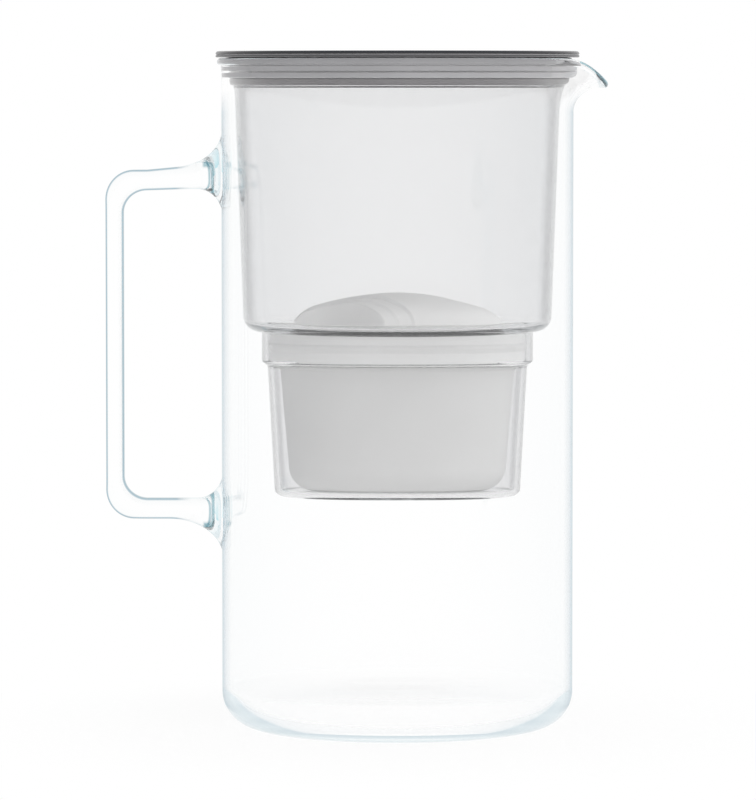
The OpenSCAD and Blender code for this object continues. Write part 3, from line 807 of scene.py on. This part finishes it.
# %% [markdown]
# ## Seal
# The silicone seal has three half-round ribs that press on the flared glass all round. At the
# spout it swells into a tongue that closes the gap over the pouring lip, and the ribs run on
# across it as shallow lines. So it isn't turned but lofted, with a reach for each angle.

# %% Seal
RIBS = 3
RIB_STEPS = 16
RIB_OUT = 1.1
RIB_LAND = 0.35
RIB_PRESS = 0.03
TONGUE_ANGLE = math.radians(24)
TONGUE_R = 72.5
TONGUE_ROUND = 2.2
TONGUE_RELIEF = 0.3
pitch = (JUG_H - SEAL_Z) / RIBS


def tongue_edge(z):
    """Reach of the tongue at a height, with its upper and lower edges rounded."""
    low = max(0.0, 1 - (z - SEAL_Z) / TONGUE_ROUND)
    high = max(0.0, 1 - (JUG_H - z) / TONGUE_ROUND)
    return TONGUE_R - TONGUE_ROUND * (2 - math.sqrt(1 - low * low) - math.sqrt(1 - high * high))


root_r = SEAL_R - RIB_OUT
profile = [(GROOVE_R, GROOVE_R, SEAL_Z), (root_r, root_r, SEAL_Z)]
for i in range(RIBS):
    for k in range(RIB_STEPS + 1):
        t = math.pi * (k / RIB_STEPS - 0.5)
        z = SEAL_Z + pitch * (i + 0.5) + (pitch - RIB_LAND) / 2 * math.sin(t)
        hollow = (1 - math.cos(t)) ** 3
        plain = JUG_RI + flare(z) + RIB_PRESS - RIB_OUT * hollow
        profile.append((plain, tongue_edge(z) - TONGUE_RELIEF * hollow, z))
profile += [(root_r, root_r, JUG_H), (GROOVE_R, GROOVE_R, JUG_H)]
shares = [swell(t, TONGUE_ANGLE) for t in TURNS]
rings = [spun([(plain + (tongue - plain) * s, z) for s in shares]) for plain, tongue, z in profile]
seal = lofted("rim_seal", rings, loop=True)
set_up(seal, "hopper_unit", "seal_silicone", seal_silicone, "collar_seal")

# %% [markdown]
# ## Clear plastic
# Hopper and well are clear mouldings with a grey tint, and painted shade makes them darker where
# the eye looks along a wall. Level faces go without the painted shade, because all of them are
# seen along and would be dark bars.

# %% Clear plastic
PLASTIC = {"ior": 1.49, "absorbs": (0.5, 0.5, 0.51), "density": 70.0, "waves": 60.0}
LEVEL_SPAN = (0.35, 0.65)


def face_way(tree):
    """The X, Y and Z of the direction a face looks in."""
    return parted(tree, add(tree, "ShaderNodeNewGeometry").outputs["Normal"])


def edge_shade_on_walls(tree, tint):
    """Keeps the tint and painted edge shade off level faces."""
    return blended(tree, reckoned(tree, "ABSOLUTE", face_way(tree)["Z"]), LEVEL_SPAN, tint, CLEAR)


# By angle: the pale stops are the plastic's own grey, the dark end is painted shade.
plastic_tint_and_shade = [
    (0.0, (0.97, 0.97, 0.972)), (0.62, (0.94, 0.94, 0.945)), (0.7, (0.7, 0.7, 0.71)),
    (0.76, (0.45, 0.45, 0.46)), (1.0, (0.38, 0.38, 0.39)),
]
clear_plastic = clear_finish(
    "clear grey plastic", plastic_tint_and_shade, ripple=0.001, let_go=(0.95, 0.95, 0.95), change=edge_shade_on_walls, **PLASTIC)
print("clear plastic: index", PLASTIC["ior"])

# %% [markdown]
# ## Ovals
# The well and the cartridge are ovals with fuller ends than an ellipse. A higher power than two
# in the ellipse's formula gives that. All their rings have the same difference between half
# length and half width, so walls keep an even thickness.

# %% Ovals
HOPPER_H = 101.0
HOPPER_FLOOR_Z = COLLAR_Z - HOPPER_H
HOPPER_ROUND = 6.2
NECK_H = 3.0
DRAFT = math.tan(math.radians(2.1))
WALL_TOP_R = LIP_LOW_R - 0.7
WALL_LOW_R = WALL_TOP_R - (HOPPER_H - NECK_H) * DRAFT
WELL_A = WALL_LOW_R - HOPPER_ROUND - 1.3
WELL_B = 39.0
OVAL_DIFF = WELL_A - WELL_B
OVAL_POWER = 2.5


def oval(a, z, turns=TURNS):
    """A ring of points on an oval of half length a."""
    points = []
    for t in turns:
        x = abs(math.cos(t)) / a
        y = abs(math.sin(t)) / (a - OVAL_DIFF)
        points.append(((x ** OVAL_POWER + y ** OVAL_POWER) ** (-1 / OVAL_POWER), z))
    return spun(points, turns)


print("oval of the well:", round(2 * WELL_A, 1), "by", 2 * WELL_B, "mm")

# %% [markdown]
# ## Hopper
# The hopper is what gets filled from above: a round cup with a drafted wall, a spigot that snaps
# into the collar, and an oval hole in its floor. One loft goes from the hole up the outside, over
# the spigot and down the inside. The hole's upright edge on the long sides of the oval gets a black
# finish, painted shade for the dark gap where the well is fixed to it.

# %% Hopper
HOPPER_T = 1.8
HOPPER_FLOOR_T = 2.7
INNER_ROUND = 3.0
CORNER_STEPS = 12
SPIGOT_R = BORE_R - 0.1
SPIGOT_T = 1.6
SPIGOT_H = 7.0
LEDGE_T = 0.8
WELL_T = 2.2
BAND_IN_A = WELL_A - WELL_T
EDGE = 0.3
FIT = 0.06
GAP_SHADE_X = 40.0


def hopper_r(z):
    """Outer radius of the hopper's wall at a height."""
    return WALL_LOW_R + (z - HOPPER_FLOOR_Z) * DRAFT


corner_z = HOPPER_FLOOR_Z + HOPPER_ROUND
outer_arc = arc(hopper_r(corner_z) - HOPPER_ROUND, corner_z, HOPPER_ROUND, 270, 360, CORNER_STEPS)
inner_z = HOPPER_FLOOR_Z + HOPPER_FLOOR_T
corner_z = inner_z + INNER_ROUND
inner_arc = arc(hopper_r(corner_z) - HOPPER_T - INNER_ROUND, corner_z, INNER_ROUND, 0, -90, CORNER_STEPS)
turn_z = COLLAR_Z - NECK_H
bend = [(WALL_TOP_R - 0.03, turn_z - 0.8), (WALL_TOP_R + 0.12, turn_z + 0.6)]
under_z = COLLAR_Z - FIT
ledge_z = COLLAR_Z - LEDGE_T
top_z = COLLAR_Z + SPIGOT_H
lean = (LIP_LOW_R - bend[1][0]) / (under_z - bend[1][1])
neck_in = LIP_LOW_R - lean * (under_z - ledge_z) - HOPPER_T
spigot_in = SPIGOT_R - SPIGOT_T
neck = bend + [
    (LIP_LOW_R, under_z), (SPIGOT_R, under_z), (SPIGOT_R, top_z - EDGE), (SPIGOT_R - EDGE, top_z),
    (spigot_in + EDGE, top_z), (spigot_in, top_z - EDGE), (spigot_in, ledge_z + EDGE),
    (spigot_in + EDGE, ledge_z), (neck_in, ledge_z),
] + [(r - HOPPER_T, z) for r, z in reversed(bend)]
rings = [oval(BAND_IN_A + EDGE, HOPPER_FLOOR_Z)]
rings += [circle(r, z) for r, z in outer_arc + neck + inner_arc]
rings += [oval(BAND_IN_A + EDGE, inner_z), oval(BAND_IN_A, inner_z - EDGE)]
rings += [oval(BAND_IN_A, HOPPER_FLOOR_Z + EDGE)]
hopper = lofted("hopper_shell", rings, loop=True)
set_up(hopper, "hopper_unit", "clear_plastic", clear_plastic, "hopper")
# Painted shade: a black finish on the hole's upright edge stands for the dark gap under the floor.
painted_gap_shade = moulded_finish("painted gap shade", (0.012, 0.012, 0.013), 0.5, 1200, 0.1)
hopper.data.materials.append(painted_gap_shade)
for face in hopper.data.polygons:
    x, y, z = face.center / MM
    upright = abs(face.normal.z) < 0.5
    if upright and abs(x) < GAP_SHADE_X and math.hypot(x, y) < BAND_IN_A + 0.2:
        face.material_index = 1

# %% [markdown]
# ## Well
# The well is an oval cup under the hole, with a wider band at its top. The cartridge sits on the
# step under the band, and an outlet and a ring of drain slots open the floor. The slots are cut
# out with small blocks, which is easier than a loft with holes.

# %% Well
WELL_Z = HOPPER_FLOOR_Z - 67.9
STEP_Z = HOPPER_FLOOR_Z - 12.3
WELL_LOW_A = WELL_A - 2.4
WELL_IN_A = WELL_LOW_A - WELL_T
WELL_LEAN = 2.9
WELL_ROUND = 3.0
WELL_FLOOR_T = 1.6
FLOOR_CORNER = 2.0
OUTLET_R = 3.5
DRAIN_R = 11.5
SLOTS = 8
SLOT_LEN = 9.0
SLOT_W = 2.2
SLOT_STEPS = 8
SLOT_PAST = 1


def cut_slots(piece, places, length, width, low, high):
    """Cuts slots with round ends out of a piece, each at its place and pointing at the axis."""
    bm = bmesh.new()
    for px, py in places:
        turn = math.atan2(py, px)
        ring = []
        for end, start in ((1, -90), (-1, 90)):
            for x, y in arc(end * (length - width) / 2, 0, width / 2, start, start + 180, SLOT_STEPS):
                ring.append((px + x * math.cos(turn) - y * math.sin(turn),
                             py + x * math.sin(turn) + y * math.cos(turn)))
        add_loft(bm, [raised(ring, z) for z in (low - SLOT_PAST, high + SLOT_PAST)], caps=True)
    combined(piece, finished("slot_cutters", bm), "DIFFERENCE")


def drain(reach, first):
    """The places of a ring of drain slots."""
    return arc(0, 0, reach, first, first + 360, SLOTS)[:-1]


well_top = HOPPER_FLOOR_Z - FIT
floor_top = WELL_Z + WELL_FLOOR_T
round_z = WELL_Z + WELL_ROUND
side_a = WELL_LOW_A - WELL_LEAN * (STEP_Z - round_z) / (STEP_Z - WELL_Z)
outer = arc(side_a - WELL_ROUND, round_z, WELL_ROUND, -90, 0, 8)
outer += [(WELL_LOW_A - 0.05, STEP_Z - WELL_T - 0.8), (WELL_LOW_A + 0.2, STEP_Z - WELL_T + 0.3)]
outer += [(WELL_A - 0.25, STEP_Z - 0.3), (WELL_A, STEP_Z + 0.6)]
outer += [(WELL_A, well_top - EDGE), (WELL_A - EDGE, well_top)]
inner = [(BAND_IN_A + EDGE, well_top), (BAND_IN_A, well_top - EDGE), (BAND_IN_A, STEP_Z + 0.6)]
inner += [(BAND_IN_A - 0.4, STEP_Z), (WELL_IN_A + EDGE, STEP_Z), (WELL_IN_A, STEP_Z - 0.5)]
inner += arc(side_a - WELL_T - FLOOR_CORNER, floor_top + FLOOR_CORNER, FLOOR_CORNER, 0, -90, 8)
rings = [circle(OUTLET_R, WELL_Z)] + [oval(a, z) for a, z in outer + inner] + [circle(OUTLET_R, floor_top)]
well = lofted("filter_well", rings, loop=True)
cut_slots(well, drain(DRAIN_R, 22.5), SLOT_LEN, SLOT_W, WELL_Z, floor_top)
set_up(well, "hopper_unit", "clear_plastic", clear_plastic, "cartridge_well")

# %% [markdown]
# ## The filter cartridge
# The cartridge is a matt, pale moulding: a cup with round lower corners, welded under a cap with
# a domed top. The cap gets a lighter copy of the cup's plastic, painted light for the light that
# the lid keeps off the dome. Faces of the cup that look straight down, close over the well's floor,
# get painted shade.

# %% Cartridge plastic
UNDERSIDE_SHADE_SPAN = (-0.9, -0.98)


def painted_shade_underneath(tree, tone):
    """Paints shade on faces that look down."""
    return blended(tree, face_way(tree)["Z"], UNDERSIDE_SHADE_SPAN, tone, (0.22, 0.22, 0.22))


# Painted shade under the cup: faces that look down turn dark.
cartridge_plastic = moulded_finish(
    "cartridge plastic", (0.74, 0.74, 0.735), 0.55, 900, 0.2, cloud=0.02, change=painted_shade_underneath)
# Painted light: the cap is the cup's plastic made lighter, for the light that the lid keeps off it.
cap_painted_lighter = moulded_finish("cap plastic painted lighter", (0.84, 0.84, 0.835), 0.5, 900, 0.1, cloud=0.01)
print("finishes:", cartridge_plastic.name, "and", cap_painted_lighter.name)

# %% [markdown]
# ## Cup of the cartridge
# The cup holds the filling. It tapers to large round corners, widens to a rim inside the cap's
# skirt, and has its own ring of slots in the floor. It is lofted through ovals like the well.

# %% Cartridge cup
SHELL_T = 1.5
SKIRT_A = BAND_IN_A - 1.1
RIM_A = SKIRT_A - SHELL_T - 0.1
RIM_IN_A = RIM_A - SHELL_T
CUP_A = WELL_IN_A - 2.9
CUP_Z = floor_top + 0.6
CUP_LEAN = 4.4
CUP_ROUND = 10.0
FOOT_IN = 8.0
SHOULDER_Z = HOPPER_FLOOR_Z + 3.0
RIM_Z = SHOULDER_Z - SHELL_T - 0.1
CUP_DRAIN_R = 8.0
cup_floor = CUP_Z + SHELL_T
round_z = CUP_Z + CUP_ROUND
flat_a = CUP_A - CUP_LEAN * (STEP_Z - round_z) / (STEP_Z - CUP_Z) - CUP_ROUND
outer = [(flat_a - FOOT_IN, CUP_Z)] + arc(flat_a, round_z, CUP_ROUND, -90, 0, 16)
outer += [(CUP_A, STEP_Z - 3.2), (CUP_A + 0.3, STEP_Z - 2.5), (RIM_A - 0.3, STEP_Z - 0.3)]
outer += [(RIM_A, STEP_Z + 0.5), (RIM_A, RIM_Z)]
inner = [(RIM_IN_A, RIM_Z), (RIM_IN_A, STEP_Z), (CUP_A - SHELL_T, STEP_Z - 2.9)]
inner += arc(flat_a, round_z, CUP_ROUND - SHELL_T, 0, -90, 12) + [(flat_a - FOOT_IN, cup_floor)]
rings = [oval(a, z) for a, z in outer + inner]
cup = lofted("cartridge_cup_shell", rings, poles=((0, 0, CUP_Z), (0, 0, cup_floor)))
cut_slots(cup, drain(CUP_DRAIN_R, 0), SLOT_LEN, SLOT_W, CUP_Z, cup_floor)
set_up(cup, "cartridge", "cartridge_plastic", cartridge_plastic, "cartridge_cup")

# %% [markdown]
# ## Dome of the cap
# Two finger recesses turn the dome of the cap into an S-shaped grip, with two fine steps beside
# each recess. The dome is a height over each point of the oval, so the recesses can be taken out
# of it softly, as they are in the real mould. The back repeats the front by half a turn.

# %% Dome of the cap
DOME_A = SKIRT_A - 8.0
DOME_B = DOME_A - OVAL_DIFF
DOME_H = 12.7
CROWN = (0.6, 1.65)
FLANK = (0.4, 13)
RECESS_D = 10.0
RECESS_SHARE = 0.93
RECESS_WALL = 2.2
WALL_GROWS = 1.8
GROWS_SPAN = (-24, -6)
SWEEP_FROM = -34.0
SWEEP_LEN = 29.5
SWEEP_POWER = 1.6
SWEEP_IN = 0.5
GRIP_STEPS = ((9.3, 1.1), (4.6, 0.6))
STEP_RUN = 0.6
FINE_TURNS = [math.pi * j / COLUMNS for j in range(2 * COLUMNS)]


def into_recess(x, y):
    """Distance from the edge of the front left recess, positive inside it."""
    run = max(0.0, (x - SWEEP_FROM) / SWEEP_LEN)
    slope = SWEEP_POWER * DOME_B / SWEEP_LEN * run ** (SWEEP_POWER - 1)
    return (SWEEP_IN - DOME_B * run ** SWEEP_POWER - y) / math.sqrt(1 + slope * slope)


def dome_z(x, y, share):
    """Height of the dome over its shoulder: a steep flank, a low crown and the S-shaped grip."""
    crown = DOME_H * (1 - CROWN[0] * share ** CROWN[1] - FLANK[0] * share ** FLANK[1])
    z = crown
    for side in (1, -1):
        deep = into_recess(x * side, y * side)
        wall = RECESS_WALL + WALL_GROWS * soft_step(x * side, *GROWS_SPAN)
        left = 1 - min(1.0, max(0.0, deep / wall))
        z -= min(RECESS_D, RECESS_SHARE * crown) * (1 - left * left)
        for gap, drop in GRIP_STEPS:
            z -= drop * min(1.0, crown / 2) * soft_step(deep + gap, 0, STEP_RUN)
    return z


def dome_ring(share, sink=0.0):
    """A ring of the dome's top, or of its underside sunk by the wall."""
    ring = []
    for x, y, z in oval(DOME_A, SHOULDER_Z, FINE_TURNS):
        ring.append((x * share, y * share, z + dome_z(x * share, y * share, share) - sink))
    return ring


print("dome:", DOME_H, "mm high, with two recesses", RECESS_D, "mm deep at most")

# %% [markdown]
# ## Cap of the cartridge
# Round the dome's foot runs a level shoulder with small slots that let the water in, and outside
# it a skirt stands on the well's step. The rings lie closer together near the dome's foot, where
# it is steepest, and the underside follows the top at the thickness of the shell.

# %% Cartridge cap
TOP_ROWS = 128
TOP_CROWD = 1.3
UNDER_ROWS = 32
UNDER_SHARES = (0.95, 0.94)
INLETS = 24
INLET_LEN = 3.4
INLET_W = 1.6
cap_in_z = SHOULDER_Z - SHELL_T
skirt_in_a = SKIRT_A - SHELL_T
edge = [(skirt_in_a, STEP_Z), (SKIRT_A - 0.2, STEP_Z), (SKIRT_A, STEP_Z + 0.2)]
edge += arc(skirt_in_a, cap_in_z, SHELL_T, 0, 90, 6)
rings = [oval(a, z, FINE_TURNS) for a, z in edge]
rings += [dome_ring(1 - (i / TOP_ROWS) ** TOP_CROWD) for i in range(TOP_ROWS)]
under = [oval(a, cap_in_z, FINE_TURNS) for a in (skirt_in_a, UNDER_SHARES[0] * DOME_A)]
under += [dome_ring(UNDER_SHARES[1] * (1 - i / UNDER_ROWS), SHELL_T) for i in range(UNDER_ROWS)]
top = SHOULDER_Z + dome_z(0, 0, 0)
bm = bmesh.new()
rows = add_loft(bm, rings, poles=(None, (0, 0, top)))
low_rows = add_loft(bm, under, poles=(None, (0, 0, top - SHELL_T)))
for j in range(len(FINE_TURNS)):
    bm.faces.new((rows[0][j - 1], rows[0][j], low_rows[0][j], low_rows[0][j - 1]))
cap = finished("cartridge_cap_dome", bm)
slot_a = (DOME_A + skirt_in_a) / 2
inlets = []
for i in range(INLETS):
    t = 2 * math.pi * (i + 0.5) / INLETS
    x = slot_a * signed_power(math.cos(t), 2 / OVAL_POWER)
    inlets.append((x, (slot_a - OVAL_DIFF) * signed_power(math.sin(t), 2 / OVAL_POWER)))
cut_slots(cap, inlets, INLET_LEN, INLET_W, cap_in_z, SHOULDER_Z)
set_up(cap, "cartridge", "cartridge_plastic", cap_painted_lighter, "cartridge_cap")

# %% [markdown]
# ## The lid
# The lid is a flat, glossy disc with two finger wells and a bar between them. A finger well is a
# half round with soft corners. Its arc, its corners and its straight side keep their centres as
# it shrinks, so one outline, a little smaller each time, gives the rounded edge, the sloping wall
# and the soft foot.

# %% Lid
lid_plastic = moulded_finish("lid plastic", (0.02, 0.02, 0.024), 0.24, 1500, 0.03, cloud=0.05, gloss=0.4)
PLATE_Z = FLANGE_Z + 0.3
LID_TOP = PLATE_Z + 1.3
LID_ROUND = 1.05
GRIP_R = 23.0
GRIP_H = 9.0
GRIP_BAR = 11.0
GRIP_T = 1.6
GRIP_CORNER = 3.2
GRIP_EDGE = 0.8
GRIP_SLOPE = 1.0
GRIP_FOOT = 1.4
VENT_R = 1.5


def well_outline(side, shrink):
    """The outline of one finger well, front or back, made smaller by shrink."""
    cy = GRIP_BAR / 2 + GRIP_CORNER
    cx = math.sqrt((GRIP_R - GRIP_CORNER) ** 2 - cy ** 2)
    swing = math.degrees(math.atan2(cy, cx))
    small = GRIP_CORNER - shrink
    line = [(cx * (i / 8 - 1), GRIP_BAR / 2 + shrink) for i in range(1, 16)]
    line += arc(cx, cy, small, -90, swing, 10)[:-1]
    line += arc(0, 0, GRIP_R - shrink, swing, 180 - swing, 40)[:-1]
    line += arc(-cx, cy, small, 180 - swing, 270, 10)
    return [(x, y * side) for x, y in line]


def close_flat(bm, *rows):
    """Fills the flat face between an outline and the outlines of the holes in it."""
    edges = []
    for row in rows:
        for j in range(len(row)):
            edge = bm.edges.get((row[j - 1], row[j]))
            edges.append(edge or bm.edges.new((row[j - 1], row[j])))
    bmesh.ops.triangle_fill(bm, use_beauty=True, edges=edges)


foot_z = LID_TOP - GRIP_H
low_z = foot_z - GRIP_T
cup_r = GRIP_R + GRIP_T
vent_y = (GRIP_BAR / 2 + GRIP_R) / 2
quarter = [math.pi / 12 * k for k in range(7)]
steps = [(-0.3, LID_TOP)]
steps += [(GRIP_EDGE * math.sin(t), LID_TOP - GRIP_EDGE * (1 - math.cos(t))) for t in quarter]
steps += [(GRIP_SLOPE + GRIP_FOOT * (1 - math.cos(t)), foot_z + GRIP_FOOT * (1 - math.sin(t)))
          for t in quarter]
steps += [(2.7, foot_z)]
skirt = [(cup_r - 0.6, low_z), (cup_r, low_z + 0.6), (cup_r, PLATE_Z), (FLANGE_R - 0.2, PLATE_Z)]
skirt += [(FLANGE_R, PLATE_Z + 0.2)] + arc(FLANGE_R - LID_ROUND, LID_TOP - LID_ROUND, LID_ROUND, 0, 90, 8)
skirt += [(FLANGE_R - 1.5, LID_TOP)]
bm = bmesh.new()
rows = add_loft(bm, [circle(r, z) for r, z in skirt])
floor_holes = []
top_holes = []
for side in (-1, 1):
    loops = add_loft(bm, [raised(well_outline(side, shrink), z) for shrink, z in steps])
    top_holes.append(loops[0])
    ring = [(VENT_R * math.cos(t), vent_y * side + VENT_R * math.sin(t)) for t in TURNS[::10]]
    vent = add_loft(bm, [raised(ring, z) for z in (foot_z, low_z)])
    close_flat(bm, loops[-1], vent[0])
    floor_holes.append(vent[-1])
close_flat(bm, rows[0], *floor_holes)
close_flat(bm, rows[-1], *top_holes)
lid = finished("lid_disc", bm)
set_up(lid, "lid", "lid_plastic", lid_plastic, "lid_cover")

# %% [markdown]
# ## Under the lid and inside the cartridge
# These pieces keep the frame's own meshes and only need their finish. The water passes a woven
# nylon screen, a fleece, a bed of black carbon, a second fleece, a bed of amber resin beads, a
# third fleece and a last screen. Cells of a Voronoi pattern stand for grains and beads, a crossed
# pair of waves for the weave, and a distorted noise for the needled fibres.

# %% Filling finishes
def relief_finish(name, low, high, roughness, pattern, depth):
    """A finish whose colour and relief follow the pattern that a function adds to its nodes."""
    material, tree, shader = painted(name)
    height = pattern(tree)
    tone = ramp(tree, height, [(0.1, low), (0.8, high)])
    feed(tree, shader, {"Base Color": tone, "Roughness": roughness})
    emboss(tree, shader, height, 0.8, depth * MM)
    return material


def cells(size):
    """A pattern of rounded grains about as wide as the size, in millimetres."""
    def pattern(tree):
        inputs = {"Vector": object_place(tree), "Scale": 1 / (size * MM)}
        grains = add(tree, "ShaderNodeTexVoronoi", inputs, feature="SMOOTH_F1")
        return reckoned(tree, "SUBTRACT", 1.0, grains.outputs["Distance"])
    return pattern


def weave(tree):
    """Threads that cross at right angles, about 0.6 mm apart."""
    inputs = {"Vector": object_place(tree), "Scale": 520.0}
    threads = [add(tree, "ShaderNodeTexWave", inputs, bands_direction=way) for way in ("X", "Y")]
    return reckoned(tree, "MAXIMUM", *[t.outputs["Fac"] for t in threads])


def fibres(tree):
    """Fine fibres that lie in all directions."""
    return noise(tree, 900.0, 6.0, 2.5)


print("patterns: grains, weave and fibres")

# %% Filling and hidden pieces
pale_silicone = moulded_finish("pale silicone", (0.42, 0.42, 0.43), 0.5, 1200, 0.15)
white_silicone = moulded_finish("white silicone", (0.8, 0.8, 0.795), 0.5, 1200, 0.15)
screen_mesh = relief_finish("nylon mesh", (0.3, 0.3, 0.31), (0.75, 0.76, 0.77), 0.45, weave, 0.2)
fleece = relief_finish("white fleece", (0.72, 0.72, 0.7), (0.92, 0.92, 0.9), 0.9, fibres, 0.3)
carbon = relief_finish("carbon grains", (0.004, 0.004, 0.004), (0.03, 0.03, 0.03), 0.6, cells(1.1), 0.6)
resin = relief_finish("resin beads", (0.25, 0.12, 0.02), (0.68, 0.44, 0.13), 0.25, cells(0.8), 0.5)
finish_of = {
    "lid_underplate": collar_plastic, "lid_gasket": pale_silicone, "cartridge_seal": white_silicone,
    "inlet_screen": screen_mesh, "outlet_screen": screen_mesh, "inlet_fleece": fleece,
    "divider_fleece": fleece, "outlet_fleece": fleece, "carbon_bed": carbon, "resin_bed": resin,
}
for name, finish in finish_of.items():
    nodes[name].data.materials.clear()
    nodes[name].data.materials.append(finish)
print("finished in place:", ", ".join(finish_of))

# %% [markdown]
# Looks must not change the size. The box of the solids was kept at the start, and the box of the
# dressed pitcher is set beside it.

# %% Sizes
look_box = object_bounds()
print("size of the solids and of the look, mm:")
for low, high in (cad_box, look_box):
    print([round((b - a) / MM, 2) for a, b in zip(low, high)])
